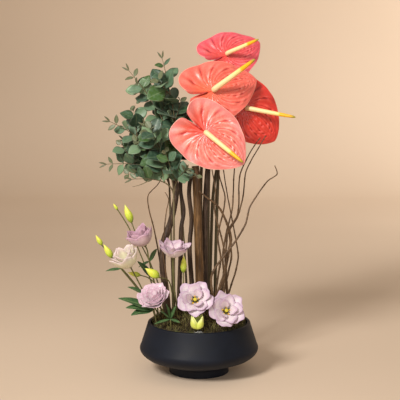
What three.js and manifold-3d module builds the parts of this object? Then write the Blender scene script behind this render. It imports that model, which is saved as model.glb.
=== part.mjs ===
// A cut-flower arrangement in a low stoneware bowl: four anthuriums over eucalyptus, willow and
// lisianthus, all standing in a block of floral foam under moss.
// Millimetres, +Z up. The origin is the middle of the bowl's foot, on the table; +X is to the
// right and -Y is the side that the flowers face. Plants are placed from the level of the bowl's
// rim, so they rise and fall with it.
import * as THREE from "three";
import { mergeVertices } from "three/addons/utils/BufferGeometryUtils.js";
import Module from "manifold-3d";

const wasm = await Module();
wasm.setup();

// ---- Driving dimensions ----
const BOWL_HEIGHT = 104;
const BOWL_RADIUS = 122; // at the widest line
const BOWL_WIDEST_AT = 45; // height of the widest line
const RIM_RADIUS = 103;
const FOOT_RADIUS = 61;
const FOOT_HEIGHT = 15;
const BOWL_WALL = 6;
const BOWL_FLOOR = 6; // above the foot
const LINER_WALL = 1;
const LINER_BELOW_RIM = 5;
const LINER_TAB = 9; // how far the liner's front edge is pulled up
const FOAM_BELOW_RIM = 17;
const FOAM_SIDE_GAP = 8; // the block passes the rim with this to spare
const MOSS_RISE = 13; // the mound's top above the rim
const STEM_FOOT_ABOVE_FOAM_BASE = 16;
const FIT_GAP = 0.4; // between pieces that rest in or against each other
const SOCKET_GAP = 0.6; // round a stem in the foam and moss
const SPATHE_THICKNESS = 2.4;
const PETAL_THICKNESS = 1.6;
const LEAF_THICKNESS = 1.4;
const LEAF_LEAN = 0.5; // of a eucalyptus leaf's direction that is along its stem
const SPRAY_STEM_RADIUS = 2.2;
const SPRAY_TIP_RADIUS = 0.9;
const BUD_STEM_RADIUS = 1.5;
const BLOOM_STEM_RADIUS = 1.9;
const PEDUNCLE_RADIUS = 3.4;

const BOWL_SIDES = 36;
const STEM_SIDES = 6;
const SPRAY_SIDES = 4;
const BRANCH_SIDES = 8;
const FULL_TURN = 2 * Math.PI;

// ---- Materials ----
const finish = (color, roughness) =>
  new THREE.MeshStandardMaterial({ color, roughness, metalness: 0 });
const STONEWARE = finish(0x15181d, 0.55);
const CELLOPHANE = finish(0xd9dcd8, 0.25);
const FOAM = finish(0x3f6b45, 0.95);
const MOSS = finish(0x3a4022, 1.0);
const BARK = finish(0x4a3526, 0.8);
const PALE_BARK = finish(0x7a5632, 0.7);
const WILLOW_BARK = finish(0x55402c, 0.75);
const PEDUNCLE = finish(0x6f7f4a, 0.5);
const CORAL = finish(0xe8756c, 0.35);
const SPADIX = finish(0xeccb5e, 0.6);
const EUCALYPTUS = finish(0x4f6f58, 0.7);
const GREEN_STEM = finish(0x5e7440, 0.6);
const LILAC = finish(0xe3cfdc, 0.7);
const BUD_GREEN = finish(0xc6cf45, 0.55);
const DARK_LEAF = finish(0x35553a, 0.55);

// ---- Helpers ----
const vector = ([x, y, z]) => new THREE.Vector3(x, y, z);

// A repeatable scatter value from 0 to 1 for the pair (i, j).
function scatter(i, j) {
  const wave = Math.sin(i * 12.9898 + j * 78.233) * 43758.5453;
  return wave - Math.floor(wave);
}

// Merges a geometry's shared vertices, so that it is one closed surface of positions only.
function closed(geometry) {
  geometry.deleteAttribute("normal");
  geometry.deleteAttribute("uv");
  return mergeVertices(geometry, 1e-3);
}

function toSolid(geometry) {
  return new wasm.Manifold(
    new wasm.Mesh({
      numProp: 3,
      vertProperties: new Float32Array(geometry.attributes.position.array),
      triVerts: new Uint32Array(geometry.index.array),
    }),
  );
}

function toGeometry(solid) {
  const mesh = solid.getMesh();
  return new THREE.BufferGeometry()
    .setAttribute("position", new THREE.BufferAttribute(mesh.vertProperties, 3))
    .setIndex(new THREE.BufferAttribute(mesh.triVerts, 1));
}

const joined = (geometries) =>
  toGeometry(geometries.map(toSolid).reduce((whole, piece) => whole.add(piece)));

// Moves each vertex of a geometry to where place(vertex) says.
function reshape(geometry, place) {
  const position = geometry.attributes.position;
  const vertex = new THREE.Vector3();
  for (let i = 0; i < position.count; i++) {
    vertex.fromBufferAttribute(position, i);
    const moved = place(vertex);
    position.setXYZ(i, moved.x, moved.y, moved.z);
  }
  return closed(geometry);
}

// A closed round solid from a profile of [radius, height], given from its foot on the axis, up
// its outside and back to the axis.
function turned(profile, segments) {
  const points = profile.map(([r, z]) => new THREE.Vector2(r, z));
  return closed(new THREE.LatheGeometry(points, segments).rotateX(Math.PI / 2));
}

// A smooth curve through points, with a ring at each point and splits[i] steps from point i to
// the next.
class StemCurve extends THREE.CatmullRomCurve3 {
  constructor(points, splits) {
    super(points.map(vector), false, "centripetal");
    const spans = points.length - 1;
    this.rings = splits.flatMap((steps, span) =>
      Array.from({ length: steps }, (_, i) => (span + i / steps) / spans),
    );
    this.rings.push(1);
  }

  // Called by three.js for the frames: u counts the rings.
  getTangentAt(u) {
    return this.getTangent(this.rings[Math.round(u * (this.rings.length - 1))]);
  }
}

// A stem: a cylinder bent along a StemCurve, radiusAt(place from 0 to 1 along it) thick.
function stem(curve, radiusAt, sides) {
  const steps = curve.rings.length - 1;
  const frames = curve.computeFrenetFrames(steps);
  return reshape(new THREE.CylinderGeometry(1, 1, 1, sides, steps), (v) => {
    const ring = Math.round((v.y + 0.5) * steps);
    const place = curve.rings[ring];
    const radius = radiusAt(place);
    return curve
      .getPoint(place)
      .addScaledVector(frames.binormals[ring], v.x * radius)
      .addScaledVector(frames.normals[ring], v.z * radius);
  });
}

// A thin closed leaf or petal: a sphere pressed flat. place(x, y, bulge) gives the point for a
// place (x, y) on the unit disc, with bulge from 1 on the front to -1 on the back.
const lens = (around, across, place) =>
  reshape(new THREE.SphereGeometry(1, around, across), (v) =>
    place(v.x, -v.z, v.y),
  );

// A frame with +X along the direction, turned about it.
function basisAlong(direction, turn) {
  const side = new THREE.Vector3(0, 0, 1).cross(direction).normalize();
  const over = direction.clone().cross(side);
  const y = side.clone().multiplyScalar(Math.cos(turn)).addScaledVector(over, Math.sin(turn));
  return new THREE.Matrix4().makeBasis(direction, y, direction.clone().cross(y));
}

// A leaf's frame: +X out from the stem and leaning along it, +Z facing along the stem.
function leafBasis(tangent, turn) {
  const out = new THREE.Vector3().setFromMatrixColumn(basisAlong(tangent, turn), 1);
  const x = out.addScaledVector(tangent, LEAF_LEAN).normalize();
  const z = tangent.clone().addScaledVector(x, -tangent.dot(x)).normalize();
  return new THREE.Matrix4().makeBasis(x, z.clone().cross(x), z);
}

// A leaf from the origin along +X, facing +Z, cupped across and drooping at its tip.
const leafGeometry = (length, width, thickness) =>
  lens(8, 2, (x, y, bulge) => {
    const along = (1 - y) / 2;
    const form = 0.12 * width * x * x - 0.1 * length * along * along;
    return new THREE.Vector3(
      along * length,
      (x * width) / 2,
      form + (bulge * thickness) / 2,
    );
  });

// A leaf from a point of a stem to its tip.
function leafBetween(base, tip, width) {
  const way = vector(tip).sub(base);
  const basis = basisAlong(way.clone().normalize(), 0).setPosition(base);
  return leafGeometry(way.length(), width, LEAF_THICKNESS).applyMatrix4(basis);
}

const taper = (from, to) => (place) => from + (to - from) * place;

const arrangement = new THREE.Group();
arrangement.position.z = BOWL_HEIGHT;

function addPiece(name, geometry, material) {
  const mesh = new THREE.Mesh(geometry, material);
  mesh.name = name;
  arrangement.add(mesh);
  return mesh;
}

// ---- Bowl, liner and foam ----
const WAIST = BOWL_WIDEST_AT - BOWL_HEIGHT; // heights from here on are from the rim
const FOOT_TOP = FOOT_HEIGHT - BOWL_HEIGHT;
const FLOOR = FOOT_TOP + BOWL_FLOOR;
const WAIST_ROUNDING = 13; // how far the bend at the widest line reaches up and down
const FOOT_EDGE = 1.5;
const RIM_EDGE = 2;

// The bowl's wall from foot to rim, moved in from the outer face by inset.
function wallProfile(inset, footTop, top) {
  const widest = BOWL_RADIUS - inset;
  const slope = (BOWL_RADIUS - RIM_RADIUS) / -WAIST;
  const low = [widest - WAIST_ROUNDING * 1.3, WAIST - WAIST_ROUNDING + inset * 0.9];
  const high = [widest - WAIST_ROUNDING * slope, WAIST + WAIST_ROUNDING];
  const bend = new THREE.QuadraticBezierCurve(
    new THREE.Vector2(...low),
    new THREE.Vector2(widest + 4, WAIST),
    new THREE.Vector2(...high),
  );
  return [
    [FOOT_RADIUS - inset * 0.6, footTop],
    ...bend.getPoints(3).map((p) => [p.x, p.y]),
    [widest + slope * (WAIST - top), top],
  ];
}

const bowlOuter = wallProfile(0, FOOT_TOP, -RIM_EDGE);
const bowlInner = wallProfile(BOWL_WALL, FLOOR, -RIM_EDGE);
const bowlProfile = [
  [0, -BOWL_HEIGHT],
  [FOOT_RADIUS - FOOT_EDGE, -BOWL_HEIGHT],
  [FOOT_RADIUS, FOOT_EDGE - BOWL_HEIGHT],
  ...bowlOuter,
  [RIM_RADIUS - RIM_EDGE, 0],
  [RIM_RADIUS - BOWL_WALL + RIM_EDGE, 0],
  ...bowlInner.reverse(),
  [0, FLOOR],
];
addPiece("bowl", turned(bowlProfile, BOWL_SIDES), STONEWARE);

const linerOuter = wallProfile(BOWL_WALL + FIT_GAP, FLOOR + FIT_GAP, -LINER_BELOW_RIM);
const linerInner = wallProfile(
  BOWL_WALL + FIT_GAP + LINER_WALL,
  FLOOR + FIT_GAP + LINER_WALL,
  -LINER_BELOW_RIM,
);
const linerProfile = [
  [0, FLOOR + FIT_GAP],
  ...linerOuter,
  ...linerInner.reverse(),
  [0, FLOOR + FIT_GAP + LINER_WALL],
];
const TAB_SPREAD = 0.16; // radians
const wallSlope = (BOWL_RADIUS - RIM_RADIUS) / -WAIST;
const liner = reshape(turned(linerProfile, BOWL_SIDES), (v) => {
  if (v.z < -LINER_BELOW_RIM - 0.01) return v;
  const fromFront = Math.atan2(v.x, -v.y) / TAB_SPREAD;
  const lift = LINER_TAB * Math.exp(-fromFront * fromFront);
  const radius = Math.hypot(v.x, v.y);
  const drawnIn = (radius - lift * wallSlope) / radius;
  return new THREE.Vector3(v.x * drawnIn, v.y * drawnIn, v.z + lift);
});
addPiece("cellophane_liner", liner, CELLOPHANE);

const FOAM_BASE = FLOOR + LINER_WALL + 2 * FIT_GAP;
const FOAM_TOP = -FOAM_BELOW_RIM;
const FOAM_RADIUS = RIM_RADIUS - BOWL_WALL - LINER_WALL - FOAM_SIDE_GAP;
const FOAM_SHAVED = 34; // how high the block's lower edge is shaved to follow the bowl
const foamProfile = [
  [0, FOAM_BASE],
  [FOOT_RADIUS - BOWL_WALL - LINER_WALL - FOAM_SIDE_GAP, FOAM_BASE],
  [FOAM_RADIUS, FOAM_BASE + FOAM_SHAVED],
  [FOAM_RADIUS, FOAM_TOP],
  [0, FOAM_TOP],
];
const MOSS_RADIUS = RIM_RADIUS - BOWL_WALL - LINER_WALL - 3 * FIT_GAP;
const MOSS_BASE = FOAM_TOP + FIT_GAP;
const MOSS_SHOULDER = -6; // where the mound meets the wall
const MOSS_RINGS = 4;
const mossDome = Array.from({ length: MOSS_RINGS + 1 }, (_, i) => {
  const turn = (i / MOSS_RINGS) * (Math.PI / 2);
  return [
    i === MOSS_RINGS ? 0 : MOSS_RADIUS * Math.cos(turn),
    MOSS_SHOULDER + (MOSS_RISE - MOSS_SHOULDER) * Math.sin(turn),
  ];
});
const MOSS_SEGMENTS = 20;
const mossProfile = [[0, MOSS_BASE], [MOSS_RADIUS, MOSS_BASE], ...mossDome];
const mossMound = reshape(turned(mossProfile, MOSS_SEGMENTS), (v) => {
  const onTop = v.z > MOSS_SHOULDER + 0.01;
  const bump = onTop ? 1.6 * Math.sin(v.x * 0.16 + 1) * Math.cos(v.y * 0.19) : 0;
  return new THREE.Vector3(v.x, v.y, v.z + bump);
});

// ---- Stems that stand in the foam ----
const STEM_FOOT = FOAM_BASE + STEM_FOOT_ABOVE_FOAM_BASE;
const sockets = []; // what the stems take out of the foam and the moss

// The stems' places are set out for a foam block of this radius. Another block draws their feet
// in or out with it, and its effect fades up to this height above the rim.
const SET_OUT_RADIUS = 88;
const SET_OUT_REACH = 150;

function withFoam([x, y, z]) {
  const share = Math.min(1, Math.max(0, 1 - z / SET_OUT_REACH));
  const scale = 1 + (FOAM_RADIUS / SET_OUT_RADIUS - 1) * share;
  return [x * scale, y * scale, z];
}

const fromFoam = (route) => route.map((point, i) => (i ? point : withFoam(point)));

// The curve of a stem from its foot in the foam through the points of its route. It is straight
// to the first of them, which is above the moss; after it each span has the given steps.
function stemFrom(foot, route, steps, lastSteps = steps) {
  const splits = route.map(() => steps);
  splits[0] = 1;
  splits[route.length - 1] = lastSteps;
  return new StemCurve([withFoam([...foot, STEM_FOOT]), ...route], splits);
}

// The straight hole of a stem, a little wider than it and deeper than its foot.
function addSocket(curve, radius) {
  const [foot, out] = curve.points;
  const wide = (radius + SOCKET_GAP) / Math.cos(Math.PI / STEM_SIDES);
  const deep = out.clone().sub(foot).setLength(SOCKET_GAP);
  const hole = new StemCurve([foot.clone().sub(deep).toArray(), out.toArray()], [1]);
  sockets.push(toSolid(stem(hole, () => wide, STEM_SIDES)));
}

// leaves: for each, the point of the curve that it grows from, its tip and its width.
function addStem(name, curve, radiusAt, sides, material, leaves = []) {
  const blades = leaves.map(([point, tip, width]) => leafBetween(curve.points[point], tip, width));
  const wood = stem(curve, radiusAt, sides);
  addPiece(name, blades.length ? joined([wood, ...blades]) : wood, material);
  addSocket(curve, radiusAt(0));
}

// ---- Wood ----
// Each row: name, foot, radius at the foot and at the top, bark, and the points that it passes.
const WOOD = [
  ["wood_pole_light", [4, -4], 9, 7.5, PALE_BARK,
    [[2, -4, 60], [-2, -2, 205], [-5, 0, 290], [-7, 2, 316]]],
  ["wood_pole_dark", [18, 15], 6, 5.2, BARK,
    [[13, 15, 60], [12, 12, 205], [17, 10, 300], [20, 10, 326]]],
  ["branch_back", [-12, 26], 5, 4, BARK,
    [[-14, 24, 60], [-19, 18, 150], [-15, 20, 205], [-20, 17, 260], [-15, 16, 308]]],
  ["branch_middle", [-41, 18], 4.8, 3.6, BARK,
    [[-40, 14, 60], [-37, 8, 135], [-36, 8, 190], [-31, 13, 222], [-37, 14, 262],
      [-37, 12, 304]]],
  ["branch_left", [-60, 2], 7.4, 4.6, BARK,
    [[-67, 0, 60], [-73, -4, 112], [-71, -2, 160], [-58, 0, 200], [-47, 0, 250],
      [-46, 0, 280], [-53, 0, 296]]],
];
for (const [name, foot, low, high, bark, route] of WOOD) {
  addStem(name, stemFrom(foot, fromFoam(route), 3), taper(low, high), BRANCH_SIDES, bark);
}

// ---- Curly willow ----
const WILLOW = [
  [[29, -32], 2.6, 0.9,
    [[30, -31, 40], [25, -30, 100], [45, -27, 133], [71, -22, 166], [94, -16, 205],
      [100, -10, 232], [116, -4, 258], [139, 0, 288], [156, 2, 300], [151, 2, 317]]],
  [[40, -4], 4, 1.3,
    [[44, -5, 50], [52, -5, 105], [61, -6, 150], [64, -7, 170], [55, -12, 204],
      [38, -22, 238], [16, -28, 256], [0, -30, 270]]],
  [[52, 8], 2.4, 0.9,
    [[58, 8, 50], [54, 8, 120], [60, 8, 187], [76, 6, 213], [80, 4, 250], [82, 2, 298],
      [106, 4, 350], [122, 6, 372]]],
  [[48, 24], 2.2, 0.9,
    [[52, 24, 60], [66, 24, 130], [62, 24, 182], [76, 24, 206], [90, 24, 257],
      [94, 24, 300], [117, 26, 346], [134, 28, 374]]],
  [[60, 16], 2.2, 1.1,
    [[56, 16, 60], [48, 16, 130], [58, 16, 190], [67, 16, 230], [70, 16, 288],
      [72, 16, 326]]],
  [[36, -18], 2.3, 1,
    [[34, -18, 50], [52, -17, 110], [50, -17, 150], [38, -16, 200], [31, -15, 232],
      [33, -14, 262], [24, -12, 318]]],
  [[36, 20], 2.2, 1,
    [[35, 20, 60], [44, 20, 128], [38, 20, 170], [47, 20, 212], [52, 20, 252],
      [40, 20, 300], [44, 20, 336]]],
  [[50, 36], 2, 0.9,
    [[62, 36, 52], [72, 35, 86], [80, 34, 126], [76, 34, 158], [68, 34, 198],
      [60, 34, 240], [50, 34, 300], [46, 34, 330]]],
  [[-70, 36], 1.8, 0.7,
    [[-76, 34, 80], [-86, 30, 157], [-93, 26, 193], [-102, 20, 230], [-102, 14, 256],
      [-84, 10, 276], [-76, 10, 288]]],
  [[-58, -14], 1.7, 0.7,
    [[-62, -16, 70], [-72, -18, 150], [-69, -18, 187], [-64, -18, 232], [-60, -18, 252],
      [-67, -18, 266]]],
];
WILLOW.forEach(([foot, low, high, route], i) => {
  const curve = stemFrom(foot, fromFoam(route), 2);
  addStem(`willow_twig_${i + 1}`, curve, taper(low, high), STEM_SIDES, WILLOW_BARK);
});

// ---- Anthuriums ----
// The spathe's outline: distance from the stem to the edge, at an angle from the tip, for a
// spathe of length 1. A pointed tip, two round lobes and a notch between them.
function spatheEdge(angle) {
  const turn = Math.abs(angle);
  const tip = 0.195 * Math.exp(-((turn / 0.6) ** 1.25));
  const lobe = 0.08 * Math.exp(-(((turn - 2.45) / 0.45) ** 2));
  const notch = 1 - 0.72 * Math.exp(-(((Math.PI - turn) / 0.22) ** 2));
  return (0.37 + tip + lobe) * notch;
}

// How far the blade stands in front of its flat plane: its ears rise beside the notch, its
// margins and tip roll back.
function spatheRise(share, angle) {
  const turn = Math.abs(angle);
  const ears = 0.15 * share ** 3 * Math.exp(-(((Math.PI - turn) / 0.62) ** 2));
  const margin = -0.05 * share ** 2;
  const tip = -0.05 * share ** 3 * Math.exp(-((turn / 0.6) ** 2));
  return ears + margin + tip;
}

const spatheGeometry = (length) =>
  lens(28, 8, (x, y, bulge) => {
    const share = Math.hypot(x, y);
    const angle = Math.atan2(x, y);
    const reach = share * spatheEdge(angle) * length;
    const rise = spatheRise(share, angle) * length;
    return new THREE.Vector3(
      reach * Math.sin(angle),
      reach * Math.cos(angle),
      rise + (bulge * SPATHE_THICKNESS) / 2,
    );
  });

// A round-ended spadix that swells over the first third of its line and tapers to its tip.
const spadixRadius = (thickness) => (place) => {
  const body = Math.max(0, (place - 1 / 3) * 1.5);
  const neck = Math.min(1, 0.62 + 1.5 * place);
  return thickness * neck * (1 - 0.34 * body) * Math.sqrt(Math.max(0.06, 1 - body ** 9));
};

// Each flower: the point where stem, spathe and spadix meet, the way the spathe faces, the way
// its tip points, its length, the way its spadix points, the spadix's length and thickness, the
// stem's foot and the points that the stem passes.
const ANTHURIUMS = [
  { at: [15, -60, 386], faces: [-0.12, -0.94, 0.3], tip: [0.76, -0.1, -0.62], length: 163,
    spadix: [0.72, -0.42, -0.55], spadixLength: 97, spadixThickness: 5.2,
    foot: [6, 26], route: [[5, 26, 120], [4, 26, 280], [8, 6, 348]] },
  { at: [29, -8, 466], faces: [0.12, -0.92, 0.34], tip: [0.93, 0.12, 0.3], length: 164,
    spadix: [0.72, -0.42, 0.56], spadixLength: 108, spadixThickness: 5.8,
    foot: [18, 38], route: [[18, 34, 120], [20, 32, 300], [24, 30, 420]] },
  { at: [56, 54, 534], faces: [0.1, -0.86, 0.45], tip: [0.88, 0.1, 0.48], length: 140,
    spadix: [0.76, -0.5, 0.36], spadixLength: 78, spadixThickness: 4.6,
    foot: [32, 46], route: [[34, 46, 120], [40, 52, 320], [48, 74, 470]] },
  { at: [94, 28, 429], faces: [0.16, -0.96, 0.12], tip: [0.62, 0.26, -0.72], length: 160,
    spadix: [0.95, -0.3, -0.16], spadixLength: 101, spadixThickness: 5,
    foot: [20, 58], route: [[24, 60, 120], [34, 66, 290], [64, 68, 385]] },
];
const PEDUNCLE_LEAD = 16; // the stem meets the spathe square on, over this length
const SPADIX_LEAD = 7;

ANTHURIUMS.forEach((flower, i) => {
  const name = `anthurium_${i + 1}`;
  const at = vector(flower.at);
  const front = vector(flower.faces).normalize();
  const tip = vector(flower.tip);
  tip.addScaledVector(front, -tip.dot(front)).normalize();
  const side = tip.clone().cross(front);
  const basis = new THREE.Matrix4().makeBasis(side, tip, front).setPosition(at);
  addPiece(`${name}_spathe`, spatheGeometry(flower.length).applyMatrix4(basis), CORAL);

  const half = SPATHE_THICKNESS / 2 + FIT_GAP;
  const behind = (distance) => at.clone().addScaledVector(front, -distance).toArray();
  const route = [...fromFoam(flower.route), behind(half + PEDUNCLE_LEAD), behind(half)];
  const curve = stemFrom(flower.foot, route, 3, 1);
  addStem(`${name}_stem`, curve, taper(PEDUNCLE_RADIUS, 2.8), STEM_SIDES, PEDUNCLE);

  const base = at.clone().addScaledVector(front, half);
  const lead = base.clone().addScaledVector(front, SPADIX_LEAD);
  const point = vector(flower.spadix).normalize();
  const along = (share) =>
    lead.clone().addScaledVector(point, flower.spadixLength * share).toArray();
  const line = new StemCurve([base.toArray(), lead.toArray(), along(0.5), along(1)], [1, 3, 4]);
  const radius = spadixRadius(flower.spadixThickness);
  addPiece(`${name}_spadix`, stem(line, radius, BRANCH_SIDES), SPADIX);
});

// ---- Eucalyptus ----
// Each branch rises in the bundle from its foot to its knee and splits there into sprays. Each
// spray: its tip, its largest leaf and how far its leaves are turned about the stem. It arches
// over to its tip with opposite leaves, each pair turned a quarter from the last.
const EUCALYPTUS_BRANCHES = [
  { name: "eucalyptus_upper", foot: [-24, 38], knee: [-38, 26, 270], sprays: [
    { tip: [-72, -4, 528], leaf: 50, turned: 2.75 },
    { tip: [-138, 10, 504], leaf: 42, turned: 0 },
    { tip: [-104, 34, 456], leaf: 44, turned: 2.62 },
  ] },
  { name: "eucalyptus_left", foot: [-54, 54], knee: [-60, 46, 262], sprays: [
    { tip: [-176, 6, 404], leaf: 42, turned: 1.7 },
    { tip: [-186, 34, 316], leaf: 38, turned: 0 },
    { tip: [-150, 50, 362], leaf: 42, turned: 0.26 },
  ] },
  { name: "eucalyptus_front", foot: [-50, -17], knee: [-50, -20, 256], sprays: [
    { tip: [-130, -52, 296], leaf: 38, turned: 0 },
    { tip: [-24, -62, 316], leaf: 34, turned: 0 },
    { tip: [-104, -42, 398], leaf: 44, turned: 0 },
  ] },
];
const SPRAY_ARCH = 0.45; // how far it heads on upwards, as a share of the way to the tip
const LEAF_PAIRS = 6;
const FIRST_PAIR = 0.24; // shares of the arch
const LAST_PAIR = 0.93;
const SPRAY_BUD = 12; // the closed leaves at the very tip
const LEAF_WIDTH = 0.74; // of its length, on eucalyptus
const leafShrink = (step) => 1 - 0.6 * step ** 1.6;

// A spray's solids: its stem, a closed bud at its tip and its pairs of leaves.
function sprayPieces(knee, { tip, leaf, turned }, seed) {
  const end = vector(tip);
  const crown = knee.clone();
  crown.z += end.distanceTo(knee) * SPRAY_ARCH;
  const arch = new THREE.QuadraticBezierCurve3(knee, crown, end);
  const shares = Array.from({ length: LEAF_PAIRS }, (_, pair) =>
    FIRST_PAIR + ((LAST_PAIR - FIRST_PAIR) * pair) / (LEAF_PAIRS - 1),
  );
  const nodes = shares.map((share) => arch.getPoint(share).toArray());
  const line = new StemCurve([knee.toArray(), ...nodes, tip], shares.map(() => 1).concat(1));
  const pieces = [stem(line, taper(SPRAY_STEM_RADIUS * 0.8, SPRAY_TIP_RADIUS), SPRAY_SIDES)];
  const within = end.clone().addScaledVector(arch.getTangent(1), -2);
  const bud = leafGeometry(SPRAY_BUD, SPRAY_BUD / 3, 3);
  pieces.push(bud.applyMatrix4(basisAlong(arch.getTangent(1), 0).setPosition(within)));
  shares.forEach((share, pair) => {
    const size = leaf * leafShrink(pair / (LEAF_PAIRS - 1));
    for (let half = 0; half < 2; half++) {
      const turn = turned + (pair / 4 + half / 2) * FULL_TURN + (scatter(seed, pair) - 0.5) * 0.6;
      const basis = leafBasis(arch.getTangent(share), turn).setPosition(arch.getPoint(share));
      pieces.push(leafGeometry(size, size * LEAF_WIDTH, LEAF_THICKNESS).applyMatrix4(basis));
    }
  });
  return pieces;
}

EUCALYPTUS_BRANCHES.forEach(({ name, foot, knee, sprays }, branch) => {
  const curve = stemFrom(foot, [knee], 1);
  const pieces = [stem(curve, () => SPRAY_STEM_RADIUS, STEM_SIDES)];
  sprays.forEach((spray, i) => pieces.push(...sprayPieces(vector(knee), spray, branch * 4 + i)));
  addPiece(name, joined(pieces), EUCALYPTUS);
  addSocket(curve, SPRAY_STEM_RADIUS);
});

// ---- Lisianthus blooms ----
// Each bloom: its stem's foot and the points that the stem passes, the bloom's seat, the way
// that it faces, and its form.
const OPEN = { radius: 35, height: 22, bellyRadius: 10, bellyHeight: 20, petals: 5 };
const CUP = { radius: 30, height: 32, bellyRadius: 22, bellyHeight: 2, petals: 5 };
const ROSETTE = { radius: 32, height: 26, bellyRadius: 18, bellyHeight: 8, petals: 6 };
const GREEN = { radius: 13, height: 19, bellyRadius: 18, bellyHeight: 2, petals: 5 };
const BLOOMS = [
  { foot: [-10, -36], route: [[-10, -38, 22], [-9, -46, 40]], seat: [-8, -60, 52],
    faces: [0.02, -0.86, 0.5], form: OPEN },
  { foot: [46, -38], route: [[47, -40, 18], [49, -46, 24]], seat: [52, -60, 30],
    faces: [0.1, -0.86, 0.5], form: OPEN },
  { foot: [-64, -32], route: [[-66, -34, 20], [-76, -40, 36]], seat: [-83, -50, 46],
    faces: [-0.24, -0.6, 0.76], form: ROSETTE },
  { foot: [-42, -26], route: [[-44, -32, 30], [-50, -46, 90]], seat: [-51, -52, 137],
    faces: [0.06, -0.2, 0.98], form: CUP },
  { foot: [-74, 6], route: [[-78, 2, 30], [-92, -10, 90], [-101, -18, 135]],
    seat: [-106, -20, 156], faces: [-0.4, -0.2, 0.9], form: CUP,
    leaves: [[2, [-122, -6, 126], 15]] },
  { foot: [-76, -20], route: [[-82, -24, 20], [-108, -34, 64], [-126, -44, 102]],
    seat: [-134, -50, 119], faces: [-0.42, -0.3, 0.86], form: CUP,
    leaves: [[2, [-140, -46, 82], 13]] },
  { foot: [-4, -74], route: [], seat: [-4, -86, 13],
    faces: [0.06, -0.36, 0.93], form: GREEN },
];
const BLOOM_CALYX = 4.5; // radius of the green cup that the petals grow from
const BLOOM_LEAD = 5; // the stem meets the bloom square on, over this length
const INNER_RING = 0.68; // size of the inner ring of petals

// A ring of petals as one thin cup with a lobe for each petal.
function petalRing({ radius, height, bellyRadius, bellyHeight, petals }, size, turned) {
  return lens(4 * petals, 4, (x, y, bulge) => {
    const share = Math.hypot(x, y);
    const angle = Math.atan2(y, x);
    const between = Math.abs(Math.sin((angle * petals) / 2 + turned));
    const lobe = 1 - 0.22 * share * (1 - between);
    const bend = 2 * share * (1 - share);
    const reach = (bend * bellyRadius + share * share * radius) * lobe * size;
    const rise = (bend * bellyHeight + share * share * height) * lobe * (2 - size) ** 0.5;
    const out = reach - bulge * PETAL_THICKNESS * 0.3 * share;
    return new THREE.Vector3(
      out * Math.cos(angle),
      out * Math.sin(angle),
      BLOOM_CALYX + rise + (bulge * PETAL_THICKNESS) / 2,
    );
  });
}

function bloomGeometry(form) {
  const calyx = new THREE.SphereGeometry(BLOOM_CALYX, 8, 4).rotateX(Math.PI / 2);
  return joined([
    closed(calyx.translate(0, 0, BLOOM_CALYX)),
    petalRing(form, 1, 0),
    petalRing(form, INNER_RING, Math.PI / 2),
  ]);
}

// Turns +Z to the way that a flower faces and moves it there.
function facing(direction, at) {
  const turn = new THREE.Quaternion().setFromUnitVectors(new THREE.Vector3(0, 0, 1), direction);
  return new THREE.Matrix4().makeRotationFromQuaternion(turn).setPosition(at);
}

BLOOMS.forEach(({ foot, route, seat, faces, form, leaves }, i) => {
  const name = form === GREEN ? "lisianthus_green" : `lisianthus_${i + 1}`;
  const material = form === GREEN ? BUD_GREEN : LILAC;
  const front = vector(faces).normalize();
  const at = vector(route.length ? seat : withFoam(seat)); // with no route it sits on the moss
  const behind = (distance) => at.clone().addScaledVector(front, -distance).toArray();
  const whole = [...fromFoam(route), behind(BLOOM_LEAD), behind(FIT_GAP)];
  const radiusAt = taper(BLOOM_STEM_RADIUS + 0.3, BLOOM_STEM_RADIUS);
  const curve = stemFrom(foot, whole, 2, 1);
  addStem(`${name}_stem`, curve, radiusAt, STEM_SIDES, GREEN_STEM, leaves);
  addPiece(`${name}_bloom`, bloomGeometry(form).applyMatrix4(facing(front, at)), material);
});

// ---- Lisianthus buds: a stem whose last span is a pointed bud ----
// Each row: foot, the points it passes with the bud's base and tip last, the bud's radius and
// the stem's leaves.
const BUDS = [
  [[-68, 17], [[-74, 18, 40], [-100, 14, 120], [-128, 8, 180], [-135, 6, 200],
    [-149, 6, 238]], 7.6, [[2, [-124, 22, 108], 10], [2, [-86, 4, 148], 12]]],
  [[-80, 24], [[-88, 26, 40], [-118, 26, 130], [-146, 24, 195], [-164, 22, 224],
    [-173, 20, 238]], 3.2],
  [[-84, -2], [[-92, -4, 20], [-124, -14, 70], [-156, -20, 112], [-173, -22, 134],
    [-190, -22, 162]], 6.6, [[3, [-186, -26, 110], 9]]],
  [[-84, 9], [[-94, 10, 20], [-130, 6, 76], [-172, 0, 128], [-194, -4, 156],
    [-207, -6, 178]], 4.8],
  [[-68, -12], [[-72, -14, 30], [-90, -20, 84], [-104, -26, 96], [-116, -28, 100],
    [-142, -30, 106]], 5.2],
  [[-50, -28], [[-50, -27, 26], [-54, -24, 64], [-62, -34, 92], [-78, -48, 100],
    [-106, -56, 120]], 8.6],
  [[-30, -28], [[-29, -31, 30], [-31, -35, 80], [-31, -35, 106], [-30, -36, 142]], 6.4],
];
const BUD_STEPS = 6;

BUDS.forEach(([foot, route, radius, leaves], i) => {
  const base = (route.length - 1) / route.length;
  const radiusAt = (place) => {
    const along = Math.max(0, (place - base) / (1 - base));
    const swell = Math.sin(Math.PI * Math.min(0.97, along) ** 0.72);
    return Math.max(along > 0.5 ? 0.6 : BUD_STEM_RADIUS, radius * swell);
  };
  const curve = stemFrom(foot, fromFoam(route), 2, BUD_STEPS);
  addStem(`lisianthus_bud_${i + 1}`, curve, radiusAt, STEM_SIDES, BUD_GREEN, leaves);
});

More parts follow.
